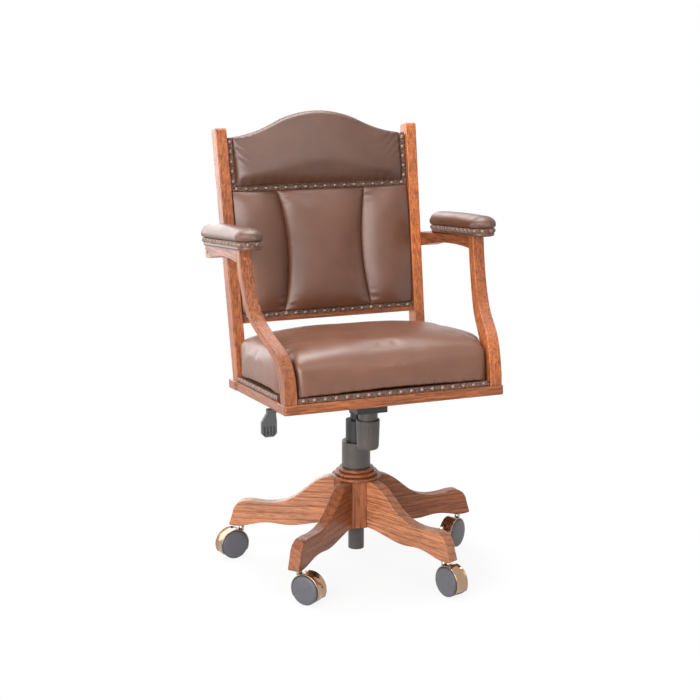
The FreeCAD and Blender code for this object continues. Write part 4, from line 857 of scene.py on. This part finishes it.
def caster_place(index, name):
    angle = math.radians(FIRST_LEG_ANGLE + 72 * index)
    spot = (STEM_CIRCLE * math.cos(angle), STEM_CIRCLE * math.sin(angle), 0)
    return Matrix.Translation(spot) @ Matrix.Rotation(math.radians(TRAIL_ANGLES[name]), 4, "Z")


AXLE = Matrix.Translation((TRAIL, 0, WHEEL_RADIUS))


def spun(bm, points, axis, angle, steps, closed_section=False):
    """Spins a line of points about an axis through the origin."""
    verts = [bm.verts.new(point) for point in points]
    edges = [bm.edges.new(pair) for pair in zip(verts, verts[1:])]
    if closed_section:
        edges.append(bm.edges.new((verts[-1], verts[0])))
    full = abs(angle) > 2 * math.pi - 1e-6
    bmesh.ops.spin(bm, geom=verts + edges, cent=(0, 0, 0), axis=axis, angle=angle, steps=steps,
                   use_merge=full)
    bmesh.ops.remove_doubles(bm, verts=bm.verts, dist=1e-7)


def caster_hood(index, name):
    """Bent brass sheet with a rolled bead along each rim."""
    inner, outer = WHEEL_RADIUS + 0.0017, WHEEL_RADIUS + 0.0031
    half = 0.0165
    start = math.radians(-30)
    # radius, and distance from the rim, along the inside and the outside of the sheet
    under = [(inner, 0), (inner - 0.0006, 0.0006), (inner, 0.0016)]
    over = [(outer, 0.0020), (outer + 0.0009, 0.0008), (outer, 0)]
    section = [(r, edge - half) for r, edge in under]
    section += [(r, half - edge) for r, edge in under[::-1] + over[::-1]]
    section += [(r, edge - half) for r, edge in over]
    bm = bmesh.new()
    points = [(r * math.cos(start), y, r * math.sin(start)) for r, y in section]
    spun(bm, points, (0, -1, 0), math.radians(240), 56, closed_section=True)
    fill_holes(bm)
    face_outward(bm)
    return new_piece("caster_hood_" + name, bm, hood_brass(), caster_place(index, name) @ AXLE)


def caster_web(index, name):
    """Dark moulded web and axle between the wheels."""
    half = 0.0045
    bm = bmesh.new()
    radius = WHEEL_RADIUS + 0.0014
    ring = bmesh.ops.create_circle(bm, cap_ends=True, segments=64, radius=radius)["verts"]
    turn_verts(bm, ring, math.radians(90), "X")
    bmesh.ops.translate(bm, vec=(0, -half, 0), verts=ring)
    made = bmesh.ops.extrude_face_region(bm, geom=bm.faces[:])["geom"]
    far_side = [item for item in made if isinstance(item, bmesh.types.BMVert)]
    bmesh.ops.translate(bm, vec=(0, 2 * half, 0), verts=far_side)
    cut_flat(bm, -0.015)
    axle = bmesh.ops.create_cone(bm, cap_ends=True, segments=32, radius1=0.004, radius2=0.004, depth=0.032)
    turn_verts(bm, axle["verts"], math.radians(90), "X")
    face_outward(bm)
    return new_piece("caster_web_" + name, bm, black_plastic(),
                     caster_place(index, name) @ AXLE, smooth=False)


def caster_stem(index, name):
    """Plated stem with its collar, a groove and the grip pin."""
    profile = [(0.0001, 0.0480), (0.0030, 0.0485), (0.0030, 0.0625), (0.0070, 0.0630), (0.0070, 0.0745),
               (0.0062, 0.0752), (0.0062, 0.0765), (0.0070, 0.0772), (0.0070, 0.0790), (0.0065, 0.0795),
               (0.0055, 0.0795), (0.0055, 0.1120), (0.0045, 0.1137), (0.0001, 0.1137)]
    bm = bmesh.new()
    spun(bm, [(r, 0, z) for r, z in profile], (0, 0, 1), 2 * math.pi, 40)
    face_outward(bm)
    return new_piece("caster_stem_" + name, bm, zinc(),
                     caster_place(index, name))


def wheel_face(index, name):
    """Pair of moulded wheels: black tread and rim, flat grey disc in each outer face."""
    tread = [(0.0045, 0.0050), (0.0110, 0.0050), (0.0110, 0.0100), (0.0280, 0.0100), (0.0285, 0.0050),
             (0.0338, 0.0050), (0.0345, 0.0058), (0.0345, 0.0170), (0.0343, 0.0180), (0.0338, 0.0187),
             (0.0334, 0.0185), (0.0333, 0.0176), (0.0040, 0.0176)]
    disc = [(0.0330, 0.0177), (0.0330, 0.0187), (0.0322, 0.0193), (0.0200, 0.0195), (0.0001, 0.0195)]
    pieces = []
    for part, profile, finish in (("wheels", tread, plastic("wheel_rim", (0.085, 0.087, 0.095), 0.5)),
                                  ("discs", disc, plastic("wheel_disc", colours().wheel, 0.42))):
        bm = bmesh.new()
        for side in (-1, 1):
            spun(bm, [(r, side * y, 0) for r, y in profile], (0, 1, 0), 2 * math.pi, 72)
        face_outward(bm)
        pieces.append(new_piece("caster_" + part + "_" + name, bm, finish,
                                caster_place(index, name) @ AXLE))
    return pieces


# Finishes of the CAD nodes that stay

ALONG_X = (0, 0, 0)
ALONG_Y = (0, 0, math.radians(90))
UPRIGHT = (0, math.radians(90), 0)


def dress(name, finish):
    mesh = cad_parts[name].data
    mesh.materials.clear()
    mesh.materials.append(finish)


def dress_wood():
    # Painted light and shade: each piece gets its own lighter or darker copy of the oak for how the lamps
    # fall on it, and the two brightest legs, which face the key light, take the paler oak as painted sheen.
    for i, (name, painted_light) in enumerate(zip(LEGS, (1.25, 0.62, 1.15, 0.72, 0.9))):
        angle = math.radians(FIRST_LEG_ANGLE + 72 * i)
        dress("leg_" + name, oak("leg_" + name, (0, 0, -angle), (0.3 * i, 0.02, -0.07), 0.7, painted_light,
                                 colours().leg_painted_sheen if painted_light > 1 else None))
    dress("hub_core", oak("hub", UPRIGHT, painted_light=0.75))
    dress("hub_cap", oak("cap", ALONG_X, (0, 0.4, 0), painted_light=0.68))
    for name, painted_light in (("front_board", 0.72), ("back_board", 0.8), ("bottom_rail", 0.75)):
        dress(name, oak(name, (SEAT_PITCH, 0, 0), (0, len(name) * 0.31, 0), painted_light=painted_light))
    dress("side_boards", oak("side_boards", ALONG_Y, painted_light=0.72))
    for i, (name, painted_light) in enumerate((("back_post_left", 0.88), ("back_post_right", 1.2),
                                      ("arm_post_left", 0.8), ("arm_post_right", 1.05))):
        dress(name, oak(name, UPRIGHT, (0, 0.37 * i, 0.2), 0.32, painted_light))
    for name in ("arm_rail_left", "arm_rail_right", "arm_pad_boards"):
        dress(name, oak(name, ALONG_Y, (0, 0, 0.2), painted_light=0.7))
    dress("screw_plugs", oak("plugs", ALONG_X, (0.1, 0.6, 0)))


def near_axis(tree, place, spot, radius, low, high):
    """1 within a radius of an upright line and between two heights, 0 elsewhere."""
    moved = node(tree, "ShaderNodeMapping", {"Vector": place, "Location": (-spot[0], -spot[1], 0),
                                             "Scale": (1, 1, 0)}).outputs["Vector"]
    reach = node(tree, "ShaderNodeVectorMath", {0: moved}, operation="LENGTH").outputs["Value"]
    height = node(tree, "ShaderNodeSeparateXYZ", {"Vector": place}).outputs["Z"]
    within = maths(tree, "LESS_THAN", reach, radius)
    for how, bound in (("GREATER_THAN", low), ("LESS_THAN", high)):
        within = maths(tree, "MULTIPLY", within, maths(tree, how, height, bound))
    return within


def paint_and_shadow_zones(name, first, second, zones):
    """Painted finish that turns to a second colour inside the given zones. On the column, the zone at the
    collar's foot is partly painted contact shadow.
    """
    made = metal(name, first, 0.42, 0.25, 0.0)
    tree = made.node_tree
    shader = tree.nodes["Principled BSDF"]
    plain = shader.inputs["Base Color"].links[0].from_socket
    place = node(tree, "ShaderNodeTexCoord").outputs["Object"]
    share = 0.0
    for zone in zones:
        share = maths(tree, "ADD", near_axis(tree, place, *zone), share, clamp=True)
    tree.links.new(mixed(tree, share, plain, rgba(second)), shader.inputs["Base Color"])
    return made


def dress_metal():
    black = metal("black_steel", (0.018, 0.018, 0.019), 0.38, 0.3, 0.0)
    dark = (0.012, 0.012, 0.012)
    low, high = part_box("column_collar")
    axis = (0, 0)
    # The band at the foot of the collar is partly its black lower rim and partly painted contact shadow
    # where the collar meets the wooden cap.
    column = paint_and_shadow_zones("column_paint_and_shadow", colours().column, dark, [
        (axis, high.x - 0.0018, high.z - 0.0006, 1), (axis, 1, low.z, low.z + 0.0035),
        (axis, 0.0232, 0.35, 1)])
    housing = paint_and_shadow_zones("housing_paint", (0.018, 0.018, 0.019), colours().column,
                       [((0, -0.076), 0.0245, 0.3, 0.3975)])
    timber = finish_material("plain_timber", "oak_grain", {"Light": (0.62, 0.45, 0.28, 1),
                             "Dark": (0.45, 0.30, 0.17, 1), "Figure": 0.5}, 0.3, 0.0003, ALONG_X)
    finishes = {
        black: ["bottom_plate", "tilt_plate"],
        housing: ["tilt_housing"],
        zinc(): ["caster_sockets", "thrust_bearing", "retaining_clip", "tension_bolt", "lever_rod",
               "mounting_bolts", "tilt_spring"],
        metal("bright_steel", (0.75, 0.75, 0.76), 0.12, 0.15): ["piston_rod", "pivot_pin",
                                                                "release_button"],
        column: ["base_tube", "column_collar", "pressure_tube"],
        plastic("knob_plastic", colours().column, 0.5): ["tension_knob"],
        plastic("paddle_plastic", (0.075, 0.074, 0.075), 0.5): ["lever_paddle"],
        black_plastic(): ["guide_bush"],
        timber: ["leg_dowels", "seat_cleats", "back_panel"],
        leather("seat"): ["cushion_base"],    # the hide is drawn down over the board's edge
        antique_brass(): ["tacks"],
        braid(): ["gimp_strips"],
    }
    for finish, names in finishes.items():
        for name in names:
            dress(name, finish)


# Stage

def soft_box(name, place, aim, energy, size):
    """A rectangular lamp that the camera doesn't see."""
    data = bpy.data.lights.new(name, "AREA")
    data.energy = energy
    data.shape = "RECTANGLE"
    data.size, data.size_y = size
    lamp = bpy.data.objects.new(name, data)
    lamp.location = place
    lamp.rotation_euler = (Vector(aim) - Vector(place)).to_track_quat("-Z", "Y").to_euler()
    lamp.visible_camera = False
    bpy.context.scene.collection.objects.link(lamp)


def seen_white(tree, lit, white):
    """White to the camera, to reflections and through glass; the lit shader otherwise."""
    path = node(tree, "ShaderNodeLightPath").outputs
    seen = maths(tree, "MAXIMUM", maths(tree, "MAXIMUM", path["Is Camera Ray"], path["Is Glossy Ray"]),
                 path["Is Transmission Ray"])
    return node(tree, "ShaderNodeMixShader", {0: seen, 1: lit, 2: white}).outputs[0]


# the camera, from the fit to the photograph's corners
CAMERA_TURN = math.radians(-21.5)
CAMERA_RISE = math.radians(13.16)
CAMERA_DISTANCE = 3.5499
CAMERA_AIM = Vector((0, 0, 0.5))
FRAME_PIXELS = 700
FOCAL_PIXELS = 1495.52
SHIFT_PIXELS = (-6.08, 11.56)
SENSOR = 36


def stage():
    world = bpy.data.worlds.new("studio")
    world.use_nodes = True
    tree = world.node_tree
    soft = tree.nodes["Background"]
    soft.inputs["Color"].default_value = (1, 1, 1, 1)
    soft.inputs["Strength"].default_value = 0.28
    white = node(tree, "ShaderNodeBackground", {"Color": (1, 1, 1, 1), "Strength": 1.0})
    tree.links.new(seen_white(tree, soft.outputs[0], white.outputs[0]),
                   tree.nodes["World Output"].inputs["Surface"])
    bpy.context.scene.world = world

    bm = bmesh.new()
    bmesh.ops.create_grid(bm, x_segments=2, y_segments=2, size=6)
    finish = bpy.data.materials.new("floor")
    finish.use_nodes = True
    tree = finish.node_tree
    shader = tree.nodes["Principled BSDF"]
    shader.inputs["Base Color"].default_value = (0.85, 0.85, 0.85, 1)
    shader.inputs["Roughness"].default_value = 0.9
    shader.inputs["Specular IOR Level"].default_value = 0.1
    white = node(tree, "ShaderNodeEmission", {"Color": (1, 1, 1, 1), "Strength": 1.0})
    place = node(tree, "ShaderNodeTexCoord").outputs["Object"]
    away = node(tree, "ShaderNodeVectorMath", {0: place}, operation="LENGTH").outputs["Value"]
    # the floor's shadows fade out to white between these distances from the column
    fade = node(tree, "ShaderNodeMapRange", {"Value": away, "From Min": 0.25, "From Max": 0.9,
                                             "To Min": 0.86, "To Max": 1.0}).outputs["Result"]
    lit = shader.outputs[0]
    faded = node(tree, "ShaderNodeMixShader", {0: fade, 1: lit, 2: white.outputs[0]}).outputs[0]
    tree.links.new(seen_white(tree, lit, faded), tree.nodes["Material Output"].inputs["Surface"])
    floor = new_piece("floor", bm, finish, Matrix.Translation((0, 0, -0.0008)), smooth=False)

    soft_box("key", (-2.8, -2.3, 1.5), (0, 0, 0.55), 165, (2.6, 2.6))
    soft_box("front", (0.4, -3.2, 3.3), (0, 0, 0.6), 34, (2.2, 1.8))
    soft_box("top", (0.0, 0.35, 3.0), (0, -0.1, 0.5), 82, (1.8, 1.6))
    soft_box("backdrop", (-1.2, 3.6, 1.7), (0, 0, 0.7), 170, (6.0, 3.4))

    camera_data = bpy.data.cameras.new("camera")
    camera = bpy.data.objects.new("camera", camera_data)
    bpy.context.scene.collection.objects.link(camera)
    flat = math.cos(CAMERA_RISE)
    back = Vector((math.sin(CAMERA_TURN) * flat, -math.cos(CAMERA_TURN) * flat, math.sin(CAMERA_RISE)))
    camera.location = CAMERA_AIM + back * CAMERA_DISTANCE
    camera.rotation_euler = (-back).to_track_quat("-Z", "Y").to_euler()
    camera_data.sensor_width = SENSOR
    camera_data.lens = FOCAL_PIXELS / FRAME_PIXELS * SENSOR
    camera_data.shift_x, camera_data.shift_y = (shift / FRAME_PIXELS for shift in SHIFT_PIXELS)
    camera_data.clip_end = 60
    bpy.context.scene.camera = camera
    bpy.context.scene.view_settings.view_transform = "Standard"


# Operators

class CHAIR_OT_patterns(bpy.types.Operator):
    """Makes the pattern groups that the finishes share"""
    bl_idname = "chair.patterns"
    bl_label = "Patterns"

    def execute(self, context):
        for made in (oak_group, leather_group, braid_group, patina_group):
            made()
        return {"FINISHED"}


class CHAIR_OT_woodwork(bpy.types.Operator):
    """Gives the oak frame, arms and base their grain and lacquer"""
    bl_idname = "chair.woodwork"
    bl_label = "Woodwork"

    def execute(self, context):
        dress_wood()
        return {"FINISHED"}


class CHAIR_OT_metalwork(bpy.types.Operator):
    """Gives the column, the tilt control, the tacks and the braid their finishes"""
    bl_idname = "chair.metalwork"
    bl_label = "Metalwork"

    def execute(self, context):
        dress_metal()
        return {"FINISHED"}


class CHAIR_OT_seat_cushion(bpy.types.Operator):
    """Upholsters the seat"""
    bl_idname = "chair.seat_cushion"
    bl_label = "Seat cushion"

    def execute(self, context):
        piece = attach(seat_cushion(), "seat")
        return {"FINISHED"}


class CHAIR_OT_back_cushions(bpy.types.Operator):
    """Upholsters the headrest, the channelled back and the outside of the back"""
    bl_idname = "chair.back_cushions"
    bl_label = "Back cushions"

    def execute(self, context):
        for piece, fill in ((lower_back_cushion(), 0.6), (headrest_cushion(), 0.75), (outside_back(), 0.9)):
            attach(piece, "seat")
        return {"FINISHED"}


class CHAIR_OT_arm_pads(bpy.types.Operator):
    """Upholsters the two arm pads"""
    bl_idname = "chair.arm_pads"
    bl_label = "Arm pads"

    def execute(self, context):
        for side, name in ((-1, "left"), (1, "right")):
            for piece, fill in ((arm_pad(side, name), 0.85), (pad_skirt(side, name), 1.0)):
                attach(piece, "seat")
        return {"FINISHED"}


class CHAIR_OT_casters(bpy.types.Operator):
    """Makes the hooded casters"""
    bl_idname = "chair.casters"
    bl_label = "Casters"

    def execute(self, context):
        for i, name in enumerate(LEGS):
            hood = caster_hood(i, name)
            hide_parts("caster_" + name + "_body")
            web, stem = caster_web(i, name), caster_stem(i, name)
            for piece in (hood, web, stem):
                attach(piece, "caster_" + name)
            for piece in wheel_face(i, name):
                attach(piece, "wheels_" + name)
                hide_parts("caster_" + name + "_wheels")
        return {"FINISHED"}


class CHAIR_OT_stage(bpy.types.Operator):
    """Sets the floor, the lights and the camera"""
    bl_idname = "chair.stage"
    bl_label = "Stage"

    def execute(self, context):
        stage()
        return {"FINISHED"}


STEPS = ("patterns", "woodwork", "metalwork", "seat_cushion", "back_cushions", "arm_pads", "casters",
         "stage")


class CHAIR_PT_panel(bpy.types.Panel):
    """Lists the chair's sizes, colours and steps"""
    bl_idname = "CHAIR_PT_panel"
    bl_label = "Chair"
    bl_space_type = "VIEW_3D"
    bl_region_type = "UI"
    bl_category = "Chair"

    def draw(self, context):
        for settings in (context.scene.chair_sizes, context.scene.chair_colours):
            for name in settings.bl_rna.properties.keys():
                if name not in ("rna_type", "name"):
                    self.layout.prop(settings, name)
        for step in STEPS:
            self.layout.operator("chair." + step)


CLASSES = (ChairSizes, ChairColours, CHAIR_OT_patterns, CHAIR_OT_woodwork, CHAIR_OT_metalwork,
           CHAIR_OT_seat_cushion, CHAIR_OT_back_cushions, CHAIR_OT_arm_pads, CHAIR_OT_casters,
           CHAIR_OT_stage, CHAIR_PT_panel)


def register():
    for made in CLASSES:
        bpy.utils.register_class(made)
    bpy.types.Scene.chair_sizes = PointerProperty(type=ChairSizes)
    bpy.types.Scene.chair_colours = PointerProperty(type=ChairColours)


def unregister():
    del bpy.types.Scene.chair_sizes
    del bpy.types.Scene.chair_colours
    for made in reversed(CLASSES):
        bpy.utils.unregister_class(made)


def main():
    register()
    for step in STEPS:
        getattr(bpy.ops.chair, step)()


if __name__ == "__main__":
    main()
